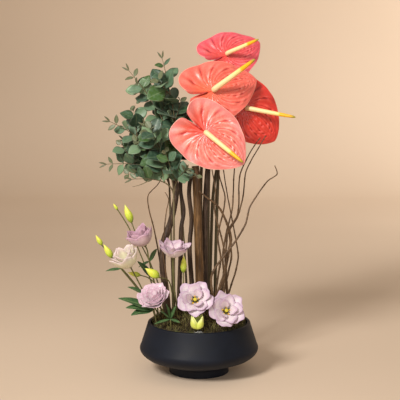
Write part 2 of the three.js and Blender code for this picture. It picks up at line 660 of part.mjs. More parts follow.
// ---- Lisianthus foliage ----
// A broad pair of leaves low on the left, and a tuft of narrow leaves standing in the moss.
const TUFTS = [
  { name: "lisianthus_leaves_low", foot: [-72, -30], crown: [-90, -40, 34], width: 22,
    blades: [[-158, -50, 62], [-144, -58, 44], [-134, -64, 30]] },
  { name: "lisianthus_leaves_front", foot: [-54, -62], crown: [-56, -66, 20], width: 7,
    blades: [[-88, -84, 16], [-76, -80, 42], [-62, -82, 54], [-46, -78, 50], [-38, -90, 20]] },
];
for (const { name, foot, crown, width, blades } of TUFTS) {
  const curve = stemFrom(foot, fromFoam([crown]), 1);
  const radiusAt = taper(BUD_STEM_RADIUS + 0.3, BUD_STEM_RADIUS);
  const pieces = [stem(curve, radiusAt, STEM_SIDES)];
  const base = curve.points[1].clone().lerp(curve.points[0], 0.04);
  for (const tip of blades) pieces.push(leafBetween(base, tip, width));
  addPiece(name, joined(pieces), DARK_LEAF);
  addSocket(curve, radiusAt(0));
}

// ---- Foam and moss, with a hole for every stem ----
const holes = sockets.reduce((whole, socket) => whole.add(socket));
const drilled = (geometry) => toGeometry(toSolid(geometry).subtract(holes));
addPiece("floral_foam", drilled(turned(foamProfile, MOSS_SEGMENTS)), FOAM);
addPiece("moss", drilled(mossMound), MOSS);

export default arrangement;
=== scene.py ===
# %% [markdown]
# # A cut-flower arrangement in a low bowl
# Four anthuriums stand over eucalyptus, curly willow and lisianthus, all held by floral foam
# under moss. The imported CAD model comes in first. It fixes where every stem stands and how far
# every flower reaches, and each piece made below takes the place of one of its plain solids.

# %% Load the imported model
import math

import bpy
import numpy as np
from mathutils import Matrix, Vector


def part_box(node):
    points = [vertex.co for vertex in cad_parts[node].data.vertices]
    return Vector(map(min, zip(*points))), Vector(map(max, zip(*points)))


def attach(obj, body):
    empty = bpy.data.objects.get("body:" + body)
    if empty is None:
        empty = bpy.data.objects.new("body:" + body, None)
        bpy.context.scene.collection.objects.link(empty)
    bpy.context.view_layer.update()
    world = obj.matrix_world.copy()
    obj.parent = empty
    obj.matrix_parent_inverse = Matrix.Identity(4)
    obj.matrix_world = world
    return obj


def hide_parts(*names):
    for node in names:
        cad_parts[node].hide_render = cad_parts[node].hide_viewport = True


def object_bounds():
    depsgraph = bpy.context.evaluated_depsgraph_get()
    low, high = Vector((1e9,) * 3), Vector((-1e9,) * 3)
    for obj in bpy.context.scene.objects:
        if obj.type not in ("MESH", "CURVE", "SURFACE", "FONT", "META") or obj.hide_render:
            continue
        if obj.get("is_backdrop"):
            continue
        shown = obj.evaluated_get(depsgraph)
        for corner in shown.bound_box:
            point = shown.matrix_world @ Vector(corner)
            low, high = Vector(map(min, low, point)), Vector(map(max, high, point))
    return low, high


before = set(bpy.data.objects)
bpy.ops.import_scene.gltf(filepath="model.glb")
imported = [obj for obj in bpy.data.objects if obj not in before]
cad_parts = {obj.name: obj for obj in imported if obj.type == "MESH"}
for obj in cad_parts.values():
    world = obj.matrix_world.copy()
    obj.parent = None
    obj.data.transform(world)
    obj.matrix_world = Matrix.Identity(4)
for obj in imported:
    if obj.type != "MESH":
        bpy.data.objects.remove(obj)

cad_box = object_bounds()
MM = 0.001
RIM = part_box("bowl")[1].z  # plants are placed from the level of the bowl's rim
print(len(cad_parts), "CAD nodes; the rim stands", round(RIM / MM), "mm up")

# %% [markdown]
# ## Meshes from grids
# Leaves, petals, stems and the bowl are all one idea: a point worked out for each place on a
# grid. They could be modelled by hand or with curve objects and bevels, but a formula on a grid
# keeps petals and leaves alike in kind and different in detail, and it is quick. Every point
# also carries three numbers for the materials: how far along the piece it is, how far across,
# and a tone that differs from leaf to leaf.


# %% Gather grids into one mesh
class Grids:
    """Points, faces and per-point values of several grids, gathered for one mesh."""

    def __init__(self):
        self.points, self.quads, self.fans = [], [], []
        self.along, self.across, self.tone = [], [], []
        self.total = 0

    def add_points(self, points, along, across, tone):
        points = points.reshape(-1, 3)
        first = self.total
        self.points.append(points)
        for store, value in ((self.along, along), (self.across, across), (self.tone, tone)):
            store.append(np.broadcast_to(value, len(points)).astype(float))
        self.total += len(points)
        return first

    def add(self, grid, wrap=False, along=None, across=None, tone=0.0):
        """A grid of points [row, column, xyz], seen from outside with its columns running to
        the right and its rows upwards. wrap joins the last column to the first and closes both
        ends with a fan of triangles round the middle of the end row."""
        rows, columns = grid.shape[:2]
        share = np.linspace(0, 1, rows)[:, None] + np.zeros((1, columns))
        side = np.linspace(-1, 1, columns)[None] + np.zeros((rows, 1))
        along = share if along is None else along
        across = side if across is None else across
        first = self.add_points(grid, np.ravel(along), np.ravel(across), np.ravel(tone))
        spans = columns if wrap else columns - 1
        row, column = np.meshgrid(np.arange(rows - 1), np.arange(spans), indexing="ij")
        right = (column + 1) % columns
        corners = [row * columns + column, row * columns + right]
        corners += [corners[1] + columns, corners[0] + columns]
        self.quads.append(first + np.stack(corners, -1).reshape(-1, 4))
        if not wrap:
            return
        ring = np.arange(columns)
        after = (ring + 1) % columns
        for row, pair in ((0, (after, ring)), (rows - 1, (ring, after))):
            value = np.ravel(along)[row * columns]
            middle = self.add_points(grid[row].mean(0), value, 0.0, np.ravel(tone)[-1])
            middle = np.full(columns, middle)
            edge = [first + row * columns + numbers for numbers in pair]
            self.fans.append(np.stack([middle, *edge], -1))

    def build(self, name, thickness=0.0):
        """Puts the grids into a mesh object. thickness gives open sheets a wall."""
        points = np.concatenate(self.points)
        quads = np.concatenate(self.quads)
        fans = np.concatenate(self.fans) if self.fans else np.empty((0, 3), int)
        mesh = bpy.data.meshes.new(name)
        mesh.vertices.add(len(points))
        mesh.vertices.foreach_set("co", points.astype(np.float32).ravel())
        corners = np.concatenate([quads.ravel(), fans.ravel()])
        mesh.loops.add(len(corners))
        mesh.loops.foreach_set("vertex_index", corners.astype(np.int32))
        starts = np.concatenate(
            [np.arange(len(quads)) * 4, len(quads) * 4 + np.arange(len(fans)) * 3]
        )
        mesh.polygons.add(len(starts))
        mesh.polygons.foreach_set("loop_start", starts.astype(np.int32))
        mesh.polygons.foreach_set("use_smooth", np.ones(len(starts), bool))
        for key in ("along", "across", "tone"):
            values = np.concatenate(getattr(self, key)).astype(np.float32)
            mesh.attributes.new(key, "FLOAT", "POINT").data.foreach_set("value", values)
        mesh.update()
        mesh.validate()
        piece = bpy.data.objects.new(name, mesh)
        bpy.context.scene.collection.objects.link(piece)
        if thickness:
            wall = piece.modifiers.new("wall", "SOLIDIFY")
            wall.thickness = thickness
            wall.offset = 0.0
        return piece


def single(name, grid, wrap=True, thickness=0.0):
    """A mesh object of one grid."""
    grids = Grids()
    grids.add(grid, wrap=wrap)
    return grids.build(name, thickness)


def place(piece, material, node):
    """Gives a piece its material and ties it to the frame, in place of a CAD node."""
    piece.data.materials.append(material)
    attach(piece, "root")
    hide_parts(node)


def place_above_rim(grids, name, material, node, thickness=0.0):
    """Builds and places grids whose points are in millimetres above the rim."""
    grids.points = [above_rim(points) for points in grids.points]
    place(grids.build(name, thickness), material, node)


# %% [markdown]
# ## Lines and stems
# A stem is a round profile carried along a line. Blender's bevelled curves could do that, but
# they give no say over the skin. Here each ring's radius can swell, taper and carry ridges.
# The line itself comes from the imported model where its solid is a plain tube: the rings of the
# tube are found by walking over the mesh from the foot's middle, one edge at a time.


# %% Lines through points
def round_turn(count):
    """Evenly spaced angles round a full turn."""
    return np.arange(count) * 2 * np.pi / count


def above_rim(points):
    """Points in millimetres above the rim's level, as metres in the model's frame."""
    return np.asarray(points, float) * MM + np.array([0, 0, RIM])


def unit(vectors):
    vectors = np.asarray(vectors, float)
    return vectors / np.linalg.norm(vectors, axis=-1, keepdims=True)


def smooth_line(points, spacing):
    """A smooth line through points, sampled at even steps, and for each sample its place in
    the list of points. Between two points it is a cubic with the slope of each end: the mean of
    the two spans' slopes there, each weighted by the other span's length."""
    points = np.asarray(points, float)
    length = np.linalg.norm(np.diff(points, axis=0), axis=1)[:, None]
    slope = np.diff(points, axis=0) / length
    middle = (slope[:-1] * length[1:] + slope[1:] * length[:-1]) / (length[1:] + length[:-1])
    slopes = np.vstack([slope[:1], middle, slope[-1:]])
    t = np.linspace(0, 1, 40, endpoint=False)[None, :, None]
    start, end = points[:-1, None], points[1:, None]
    leave, arrive = (slopes[:-1] * length)[:, None], (slopes[1:] * length)[:, None]
    curve = start * (1 + 2 * t) * (1 - t) ** 2 + leave * t * (1 - t) ** 2
    curve = curve + end * t**2 * (3 - 2 * t) + arrive * t**2 * (t - 1)
    curve = np.vstack([curve.reshape(-1, 3), points[-1:]])
    spots = np.linspace(0, len(points) - 1, len(curve))
    run = np.concatenate([[0], np.cumsum(np.linalg.norm(np.diff(curve, axis=0), axis=1))])
    even = np.linspace(0, run[-1], max(4, round(run[-1] / spacing)) + 1)
    line = np.stack([np.interp(even, run, curve[:, axis]) for axis in range(3)], 1)
    return line, np.interp(even, run, spots)


def carry(line, radius, sides, relief=1.0):
    """A round profile carried along a line: each point stands off the line by radius times
    relief, in the two directions square to the line. The directions come from the axis that
    the line follows least, so they turn smoothly."""
    tangent = unit(np.gradient(line, axis=0))
    axis = np.eye(3)[np.argmin(np.abs(tangent).max(0))]
    side = unit(np.cross(tangent, axis))
    over = np.cross(tangent, side)
    turn = round_turn(sides)
    ring = np.cos(turn)[None, :, None] * side[:, None] + np.sin(turn)[None, :, None] * over[:, None]
    reach = np.broadcast_to(np.reshape(radius, (-1, 1)) * relief, ring.shape[:2])
    return line[:, None] + reach[..., None] * ring


def stem_skin(points, spacing, thick, thin):
    """A round stem through points that narrows evenly to its end."""
    line, _ = smooth_line(points, spacing)
    return carry(line, np.linspace(thick, thin, len(line)), 12)


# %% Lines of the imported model's tubes
def tube_rings(node, foot_near=None):
    """The middles and radii of a CAD tube's rings, in order from its foot. Merged vertices
    whose faces all point one way are the middles of the two ends; the foot is the lower one, or
    the one nearest to foot_near. Each further ring is one edge away from the ring before it."""
    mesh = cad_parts[node].data
    spots = np.empty(len(mesh.vertices) * 3, np.float32)
    mesh.vertices.foreach_get("co", spots)
    mesh.calc_loop_triangles()
    faces = np.empty(len(mesh.loop_triangles) * 3, np.int32)
    mesh.loop_triangles.foreach_get("vertices", faces)
    micrometres = np.round(spots.reshape(-1, 3).astype(float) * 1e6)
    points, number = np.unique(micrometres, axis=0, return_inverse=True)
    points = points * 1e-6
    faces = number.reshape(-1)[faces].reshape(-1, 3)
    corner = points[faces]
    normal = unit(np.cross(corner[:, 1] - corner[:, 0], corner[:, 2] - corner[:, 0]))
    total, count = np.zeros_like(points), np.zeros(len(points))
    for k in range(3):
        np.add.at(total, faces[:, k], normal)
        np.add.at(count, faces[:, k], 1)
    ends = np.flatnonzero(np.linalg.norm(total, axis=1) / count > 0.99999)
    if foot_near is None:
        foot = ends[np.argmin(points[ends, 2])]
    else:
        foot = ends[np.argmin(np.linalg.norm(points[ends] - foot_near, axis=1))]
    layer = np.full(len(points), -1)
    layer[foot] = 0
    edges = np.concatenate([faces[:, [0, 1]], faces[:, [1, 2]], faces[:, [2, 0]]])
    edges = np.concatenate([edges, edges[:, ::-1]])
    step = 0
    while (layer < 0).any():
        reached = edges[layer[edges[:, 0]] == step, 1]
        step += 1
        layer[reached[layer[reached] < 0]] = step
    rings = [points[layer == k] for k in range(1, step)]
    middles = np.array([ring.mean(0) for ring in rings])
    radii = np.array([np.linalg.norm(r - m, axis=1).mean() for r, m in zip(rings, middles)])
    return middles, radii


def packed_line(node, spacing, foot_near=None, end=None):
    """A CAD tube's line at even steps, in millimetres, and its radius at each. end sets the
    last ring's radius, as a share of the ring before it."""
    rings, radii = tube_rings(node, foot_near)
    line, spots = smooth_line(rings, spacing * MM)
    if end:
        radii[-1] = end * radii[-2]
    return line, np.interp(spots, np.arange(len(radii)), radii)


# %% [markdown]
# ## Materials
# Every finish is a Principled shader. What varies over a piece, such as bark, veins or moss, is
# worked out by noise in the piece's own coordinates or from the values that its points carry.
# Painted images could do it too, but they would need to be drawn and unwrapped.


# %% A short way to write a material
def screen(red, green, blue):
    """A colour as a screen shows it, from 0 to 255, in the linear values that shaders use."""
    shown = np.array([red, green, blue]) / 255
    linear = np.where(shown > 0.04045, ((shown + 0.055) / 1.055) ** 2.4, shown / 12.92)
    return (*linear.round(4).tolist(), 1.0)


class Finish:
    """A Principled material and short calls for the nodes that feed it. Colours are given as a
    screen shows them."""

    def __init__(self, name, **sockets):
        self.material = bpy.data.materials.new(name)
        self.material.use_nodes = True
        self.tree = self.material.node_tree
        self.shader = self.tree.nodes["Principled BSDF"]
        for socket, value in sockets.items():
            self.shader.inputs[socket.replace("_", " ")].default_value = value
        self.spot = self.node("ShaderNodeTexCoord").outputs["Object"]

    def node(self, kind, feeds=(), **settings):
        made = self.tree.nodes.new(kind)
        for key, value in settings.items():
            setattr(made, key, value)
        for socket, value in dict(feeds).items():
            if isinstance(value, bpy.types.NodeSocket):
                self.tree.links.new(value, made.inputs[socket])
            else:
                made.inputs[socket].default_value = value
        return made

    def value(self, name):
        """A number that the piece's points carry."""
        return self.node("ShaderNodeAttribute", attribute_name=name).outputs["Fac"]

    def stretched(self, across, along):
        """Object coordinates in millimetres over `across` sideways and `along` upwards."""
        scale = (1000 / across, 1000 / across, 1000 / along)
        return self.node("ShaderNodeMapping", {"Vector": self.spot, "Scale": scale}).outputs[0]

    def noise(self, across, along=None, detail=4.0, rough=0.55, twist=0.0):
        """Noise whose spots are about `across` by `along` millimetres."""
        feeds = {"Vector": self.stretched(across, along or across), "Scale": 1.0}
        feeds |= {"Detail": detail, "Roughness": rough, "Distortion": twist}
        return self.node("ShaderNodeTexNoise", feeds).outputs["Fac"]

    def maths(self, operation, first, second=0.0, third=0.0):
        feeds = {0: first, 1: second, 2: third}
        return self.node("ShaderNodeMath", feeds, operation=operation).outputs[0]

    def ramp(self, value, *stops):
        """Colours between stops of (place from 0 to 1, colour)."""
        made = self.node("ShaderNodeValToRGB", {"Fac": value})
        marks = made.color_ramp.elements
        while len(marks) < len(stops):
            marks.new(0.5)
        for mark, (at, colour) in zip(marks, stops):
            mark.position = at
            mark.color = screen(*colour)
        return made.outputs["Color"]

    def level(self, value, low, high, start=0.0, end=1.0):
        """Maps low..high to start..end, smoothly and no further."""
        feeds = {"Value": value, "From Min": low, "From Max": high, "To Min": start, "To Max": end}
        made = self.node("ShaderNodeMapRange", feeds, interpolation_type="SMOOTHSTEP")
        return made.outputs["Result"]

    def blend(self, share, first, second, way="MIX"):
        made = self.node("ShaderNodeMix", data_type="RGBA", blend_type=way)
        for socket, feed in ((0, share), (6, first), (7, second)):
            if isinstance(feed, bpy.types.NodeSocket):
                self.tree.links.new(feed, made.inputs[socket])
            else:
                made.inputs[socket].default_value = screen(*feed) if socket else feed
        return made.outputs[2]

    def paint(self, colour=None, roughness=None):
        for socket, value in (("Base Color", colour), ("Roughness", roughness)):
            if value is not None:
                self.tree.links.new(value, self.shader.inputs[socket])
        return self

    def bump(self, height, millimetres, strength=1.0):
        """Raises the surface by height times so many millimetres."""
        feeds = {"Height": height, "Distance": millimetres * MM, "Strength": strength}
        made = self.node("ShaderNodeBump", feeds)
        self.tree.links.new(made.outputs["Normal"], self.shader.inputs["Normal"])
        return self


# %% [markdown]
# ## Bowl
# The bowl is turned stoneware, matt and almost black, with a narrow foot, a wide waist and a
# wall that leans in to the rim. It could be turned from one outline with Blender's Screw tool.
# A lathe on a grid is the same thing, and it lets the corners be rounded by formula.


# %% Turned outlines
def rounded(corners, reach):
    """An outline with each inner corner replaced by a quadratic arc that starts and ends
    `reach` away from it, or half way to the next corner where that is nearer."""
    corners = np.asarray(corners, float)
    t = np.linspace(0, 1, 7)[:, None]
    parts = [corners[:1]]
    for before, corner, after in zip(corners, corners[1:], corners[2:]):
        back, ahead = before - corner, after - corner
        start = corner + back * min(0.5, reach / np.linalg.norm(back))
        end = corner + ahead * min(0.5, reach / np.linalg.norm(ahead))
        parts.append(start * (1 - t) ** 2 + corner * 2 * t * (1 - t) + end * t**2)
    return np.vstack([*parts, corners[-1:]])


def lathe(outline, sides):
    """Turns an outline of (radius, height) about the upright axis."""
    turn = round_turn(sides)
    radius, height = outline[:, 0, None], outline[:, 1, None] + 0 * turn
    return np.stack([radius * np.cos(turn), radius * np.sin(turn), height], -1)


# Radii and heights in millimetres, as packed.
WIDEST = 122
WAIST = 45  # the height of the widest line
RIM_RADIUS = 103
FOOT_RADIUS = 61
FOOT_HEIGHT = 15
BOWL_HEIGHT = 104
BOWL_FLOOR = 21
WALL = 6


def wall_outline(inset, low, high):
    """The bowl's wall from height low to high, moved in by inset from its outer face: straight
    up to the waist, round it on a quadratic arc, and straight on to the rim."""
    widest = WIDEST - inset
    lean = (WIDEST - RIM_RADIUS) / (BOWL_HEIGHT - WAIST)
    t = np.linspace(0, 1, 17)[:, None]
    start = np.array([widest - 17, WAIST - 13 + 0.9 * inset])
    bend = np.array([widest + 4, WAIST])
    end = np.array([widest - 13 * lean, WAIST + 13])
    arc = start * (1 - t) ** 2 + bend * 2 * t * (1 - t) + end * t**2
    foot = FOOT_RADIUS - 0.6 * inset
    top = [widest + lean * (WAIST - high), high]
    return np.vstack([[foot, low], arc, top])


# %% Bowl
LIP = 5  # the rounded edge takes up this much of the height
outside = wall_outline(0, FOOT_HEIGHT, BOWL_HEIGHT - LIP - 1)
foot = rounded([[55, 0], [60.5, 0], [60.5, FOOT_HEIGHT], outside[1]], 2.0)
lip_start = wall_outline(0, FOOT_HEIGHT, BOWL_HEIGHT - LIP)[-1]
lip = [lip_start, [103.6, BOWL_HEIGHT], [97, BOWL_HEIGHT], [98.5, BOWL_HEIGHT - LIP]]
inside = wall_outline(WALL, BOWL_FLOOR, BOWL_HEIGHT - LIP - 1)[::-1]
outline = np.vstack([foot[:-1], outside[1:], rounded(lip, 2.2)[1:-1], inside, [[50, BOWL_FLOOR]]])
bowl = single("stoneware_bowl", lathe(outline * MM, 144))

stoneware = Finish("matt stoneware", Roughness=0.55, Specular_IOR_Level=0.24)
grain = stoneware.noise(1.6, detail=3)
cloud = stoneware.noise(60, 30, detail=3)
throwing = stoneware.noise(400, 2.2, detail=2)
stoneware.paint(
    stoneware.ramp(cloud, (0.3, (9, 15, 26)), (0.7, (15, 22, 35))),
    stoneware.level(cloud, 0.3, 0.7, 0.54, 0.62),
)
fine = stoneware.maths("MULTIPLY_ADD", grain, 0.35, throwing)
stoneware.bump(fine, 0.12, 0.5)
place(bowl, stoneware.material, "bowl")
print("bowl", [round(v / MM) for v in bowl.dimensions])

# %% [markdown]
# ## Liner, foam and moss
# A crinkled clear film keeps the wet foam off the stoneware, and shows as a small raised edge at
# the front. The foam keeps its CAD solid, with the stems' holes in it, and gets a finish of its
# own. Moss hides it: a lumpy mound, and thousands of short bent strands over it. Hair particles
# could do the strands, but plain ribbons stay a mesh and can't change from run to run.


# %% Ripples that repeat exactly
def ripple(x, y, seed=0.0, octaves=4):
    """A soft bumpy value from about -1 to 1: sums of sine waves that cross at odd angles, each
    octave twice as fine and half as strong."""
    total = np.zeros(np.broadcast(x, y).shape)
    for octave in range(octaves):
        fine = 2.0**octave
        turn = 2.4 * octave + seed
        across = np.cos(turn) * x + np.sin(turn) * y
        over = np.cos(turn + 1.9) * x + np.sin(turn + 1.9) * y
        total = total + np.sin(across * fine + seed * 3.1) * np.sin(over * fine * 1.3 + seed) / fine
    return total * 0.6


# %% Liner
FRONT_PEAK = 0.16  # radians that the raised edge at the front spans to each side
film = wall_outline(WALL + 0.9, 22, 99)[:, None] * MM
around = round_turn(220)[None]
share = np.linspace(0, 1, len(film))[:, None]
crinkle = 0.35 * MM * ripple(around * 22, share * 9, 1.0)
from_front = (np.mod(around + np.pi / 2 + np.pi, 2 * np.pi) - np.pi) / FRONT_PEAK
torn = 1 + 0.5 * ripple(around * 55, share * 0, 4.0)
lift = (8 * torn * np.exp(-(from_front**2)) + 0.8 * ripple(around * 9, share * 0, 2.0)) * MM
lift = lift * (share > 0.99)
radius = film[..., 0] - np.abs(crinkle) - lift * 0.32
height = film[..., 1] + lift
skin = np.stack([radius * np.cos(around), radius * np.sin(around), height], -1)
skin = np.concatenate([skin, skin[:, :1]], 1)
liner = single("cellophane_film", skin, wrap=False, thickness=0.12 * MM)
cellophane = Finish("clear film", Base_Color=screen(240, 240, 236), Roughness=0.12,
                    Transmission_Weight=0.85, IOR=1.3)
cellophane.bump(cellophane.noise(9, 5, detail=3), 0.5, 0.6)
place(liner, cellophane.material, "cellophane_liner")
print("film", [round(v / MM) for v in liner.dimensions])

# %% Foam
wet_foam = Finish("wet floral foam", Roughness=0.95)
pores = wet_foam.noise(0.8, detail=3)
wet_foam.paint(wet_foam.ramp(pores, (0.3, (38, 66, 42)), (0.7, (70, 104, 66))))
wet_foam.bump(pores, 0.4, 0.7)
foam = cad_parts["floral_foam"]
foam.data.materials.clear()
foam.data.materials.append(wet_foam.material)

# %% Moss mound
MOSS_RADIUS = 94.5
MOSS_SHOULDER = -4
MOSS_RISE = 15


def moss_height(x, y):
    """Height of the moss in millimetres above the rim: a low dome, with lumps and hollows."""
    share = np.minimum(1, np.hypot(x, y) / MOSS_RADIUS)
    dome = MOSS_SHOULDER + (MOSS_RISE - MOSS_SHOULDER) * np.sqrt(1 - share**2)
    lumps = 2.4 * ripple(x * 0.11, y * 0.11, 0.7) + 1.7 * ripple(x * 0.36, y * 0.36, 2.3)
    return dome + lumps * (1 - 0.5 * share)


turn = round_turn(150)
share = np.linspace(1, 0.01, 60)[:, None]
x, y = MOSS_RADIUS * share * np.cos(turn), MOSS_RADIUS * share * np.sin(turn)
skin = above_rim(np.stack([x, y, moss_height(x, y)], -1))
skirt = skin[:1] * [1, 1, 0] + [0, 0, RIM - 16 * MM]
mound = single("moss_mound", np.concatenate([skirt, skin]))

damp_moss = Finish("damp moss", Roughness=0.95)
tufts = damp_moss.noise(3.5, detail=5, rough=0.7)
patches = damp_moss.noise(26, detail=2)
dark = damp_moss.ramp(tufts, (0.35, (30, 24, 14)), (0.7, (78, 64, 34)))
green = damp_moss.ramp(tufts, (0.35, (36, 36, 16)), (0.7, (92, 92, 42)))
damp_moss.paint(damp_moss.blend(damp_moss.level(patches, 0.4, 0.6), dark, green))
damp_moss.bump(tufts, 1.5, 0.9)
place(mound, damp_moss.material, "moss")
print("moss mound", [round(v / MM) for v in mound.dimensions])

# %% Moss strands
STRANDS = 13000
STRAND_LIMIT = 95.5  # just inside the bowl's wall
draw = np.random.default_rng(11)
reach = MOSS_RADIUS * np.sqrt(draw.uniform(0, 0.985, STRANDS))
turn = draw.uniform(0, 2 * np.pi, STRANDS)
x, y = reach * np.cos(turn), reach * np.sin(turn)
length = draw.uniform(4, 14, STRANDS)
lean = draw.uniform(0.2, 1.35, STRANDS)
heading = draw.uniform(0, 2 * np.pi, STRANDS)
width = draw.uniform(0.6, 1.5, STRANDS)
t = np.linspace(0, 1, 4)[None, :]
bent = lean[:, None] * t
out = length[:, None] * t * np.sin(bent)
up = length[:, None] * t * np.cos(bent) - 1
way_x, way_y = np.cos(heading), np.sin(heading)
root = np.stack([x, y, moss_height(x, y)], -1)[:, None]
bend = [out * way_x[:, None], out * way_y[:, None], up]
middle = root + np.stack(bend, -1)
side = np.stack([-way_y, way_x, 0 * heading], -1)[:, None]
half = (width[:, None] * (1 - 0.75 * t))[..., None] / 2 * side
both = above_rim(np.stack([middle - half, middle + half], 2))
from_middle = np.maximum(1e-6, np.hypot(both[..., 0], both[..., 1]))
both[..., :2] *= np.minimum(1, STRAND_LIMIT * MM / from_middle)[..., None]
strands = Grids()
first = strands.add_points(
    both, np.tile(np.repeat(t[0], 2), STRANDS), 0.0, np.repeat(draw.uniform(0, 1, STRANDS), 8)
)
start = np.arange(STRANDS)[:, None] * 8 + np.arange(3)[None] * 2
strands.quads.append(np.stack([start, start + 1, start + 3, start + 2], -1).reshape(-1, 4))
strands = strands.build("moss_strands")

strand_moss = Finish("moss strands", Roughness=0.8)
tone = strand_moss.value("tone")
old = strand_moss.ramp(tone, (0.0, (60, 44, 26)), (0.45, (100, 82, 46)), (0.75, (138, 130, 66)),
                       (1.0, (200, 192, 120)))
# Painted shade: each strand darkens to near black at its root, down in the tangle.
tip = strand_moss.blend(strand_moss.value("along"), (24, 18, 10), old)
strand_moss.paint(tip)
place(strands, strand_moss.material, "moss")
print("moss:", STRANDS, "strands")

# %% [markdown]
# ## Poles and branches
# Two straight poles and three crooked branches carry the height of the arrangement. Their bark
# is furrowed along the grain and swells round old side shoots. The swellings are modelled, so
# that the outline shows them, and the finer grain is noise drawn out along the wood.


# %% Wood
def bark_relief(line, sides, seed, depth):
    """How far bark stands off the wood's middle, about 1: long furrows that wander round the
    stem, a finer crackle, and a few swellings."""
    turn = round_turn(sides)[None]
    run = np.linspace(0, 1, len(line))[:, None] * len(line) * 0.02
    furrow = ripple(turn * 0 + np.cos(turn) * 2.6, np.sin(turn) * 2.6 + run * 1.4, seed)
    crackle = ripple(np.cos(turn) * 7 + run * 2, np.sin(turn) * 7 - run * 3, seed + 1)
    knots = np.maximum(0, np.sin(run * 2.1 + seed * 2)) ** 14 * (1 + 0.8 * np.cos(turn - seed))
    return 1 + depth * furrow + 0.5 * depth * crackle + 0.9 * depth * knots


taken = []  # points of wood, stems and flowers, which the eucalyptus leaves keep clear of
WOOD_SIDES = 44


def add_wood(node, material, seed, depth):
    """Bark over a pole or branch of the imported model."""
    line, radius = packed_line(node, 2.5)
    skin = carry(line, radius, WOOD_SIDES, bark_relief(line, WOOD_SIDES, seed, depth))
    taken.append(skin[::3, ::6].reshape(-1, 3))
    place(single(f"{node}_wood", skin), material, node)


def bark(name, dark, middle, light, roughness, grain):
    """Bark whose grain runs up the wood: grain is the width of a streak in millimetres."""
    made = Finish(name, Roughness=roughness, Specular_IOR_Level=0.4)
    streak = made.noise(grain, grain * 14, detail=5, rough=0.6, twist=0.4)
    blotch = made.noise(9, 40, detail=3)
    colour = made.ramp(streak, (0.3, dark), (0.5, middle), (0.72, light))
    shade = made.ramp(blotch, (0.3, (150, 140, 130)), (0.65, (255, 255, 255)))
    made.paint(made.blend(0.8, colour, shade, "MULTIPLY"))
    return made.bump(made.maths("MULTIPLY_ADD", blotch, 0.4, streak), 0.7, 0.8).material


pale_bark = bark("smooth pale bark", (58, 40, 24), (104, 76, 46), (146, 112, 70), 0.4, 1.8)
dark_bark = bark("dark bark", (40, 29, 24), (74, 57, 45), (118, 96, 76), 0.5, 1.2)
WOOD = {
    "wood_pole_light": (pale_bark, "light_bark", 0.05),
    "wood_pole_dark": (dark_bark, "dark_bark", 0.05),
    "branch_back": (dark_bark, "dark_bark", 0.1),
    "branch_middle": (dark_bark, "dark_bark", 0.12),
    "branch_left": (dark_bark, "dark_bark", 0.12),
}
for seed, (node, (material, slot, depth)) in enumerate(WOOD.items(), 1):
    add_wood(node, material, seed, depth)
print("wood:", len(WOOD), "pieces")

# %% [markdown]
# ## Curly willow
# Willow grows in slow waves, and each bud along it leaves a little step. Bevelled curves could
# make the twigs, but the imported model's lines are there to be followed, and a carried profile
# adds a swelling at each bud and a slight wander.


# %% Willow twigs
willow_bark = bark("willow bark", (58, 40, 26), (98, 74, 50), (150, 120, 86), 0.5, 0.9)
STEP = 1.5  # millimetres between rings
BUD_SPACING = 34
for number in range(1, 11):
    node = f"willow_twig_{number}"
    line, radius = packed_line(node, STEP)
    run = np.arange(len(line)) * STEP
    buds = 1 + 0.22 * np.maximum(0, np.sin(run * 2 * np.pi / BUD_SPACING + number)) ** 10
    wander = np.stack([ripple(run * 0.05, 0, number), ripple(run * 0.05, 0, number + 5)], 1)
    fade = np.minimum(1, run / 140)[:, None] * 0.5 * MM
    line = line + np.column_stack([wander * fade, 0 * run])
    place(single(f"curly_{node}", carry(line, radius * buds, 12)), willow_bark, node)
print("willow:", number, "twigs")

# %% [markdown]
# ## Anthuriums
# What looks like an anthurium's petal is a spathe, a heart-shaped leaf. It is waxy and puckered
# between sunken veins, which leave the stem in a fan and all curve round to the tip. The spadix
# in front of it is a fleshy rod set with hundreds of tiny flowers, cream at first and yellow
# towards its tip. A sculpted plane could give a spathe, but the veins have a simple law: seen
# from any point of one vein, stem and tip stand at the same angle. So the pattern is worked out
# from that angle, and it is carved into the mesh. Its colour is painted shade in the veins and a
# painted highlight on the puckers.


# %% Spathe outline and veins
def spathe_edge(turn):
    """Distance from the stem to the edge, for a spathe of length 1, at an angle from the tip: a
    round body, a pointed tip, two lobes and a notch between them."""
    turn = np.abs(turn)
    tip = 0.195 * np.exp(-((turn / 0.6) ** 1.25))
    lobe = 0.08 * np.exp(-(((turn - 2.45) / 0.45) ** 2))
    behind = np.pi - turn
    notch = 1 - 0.16 * np.exp(-((behind / 0.34) ** 2)) - 0.56 * np.exp(-((behind / 0.06) ** 2))
    return (0.37 + tip + lobe) * notch


def spathe_rise(share, turn):
    """How far the blade stands in front of its flat plane: its ears rise beside the notch and
    dip into a crease at it, and its margin and tip roll back."""
    turn = np.abs(turn)
    ears = 0.2 * share**2 * np.exp(-(((np.pi - turn) / 0.62) ** 2))
    crease = 0.13 * share * np.exp(-(((np.pi - turn) / 0.13) ** 2))
    tip = 0.05 * share**3 * np.exp(-((turn / 0.6) ** 2))
    return ears - crease - 0.05 * share**2 - tip


VEINS = 7.0  # on each half


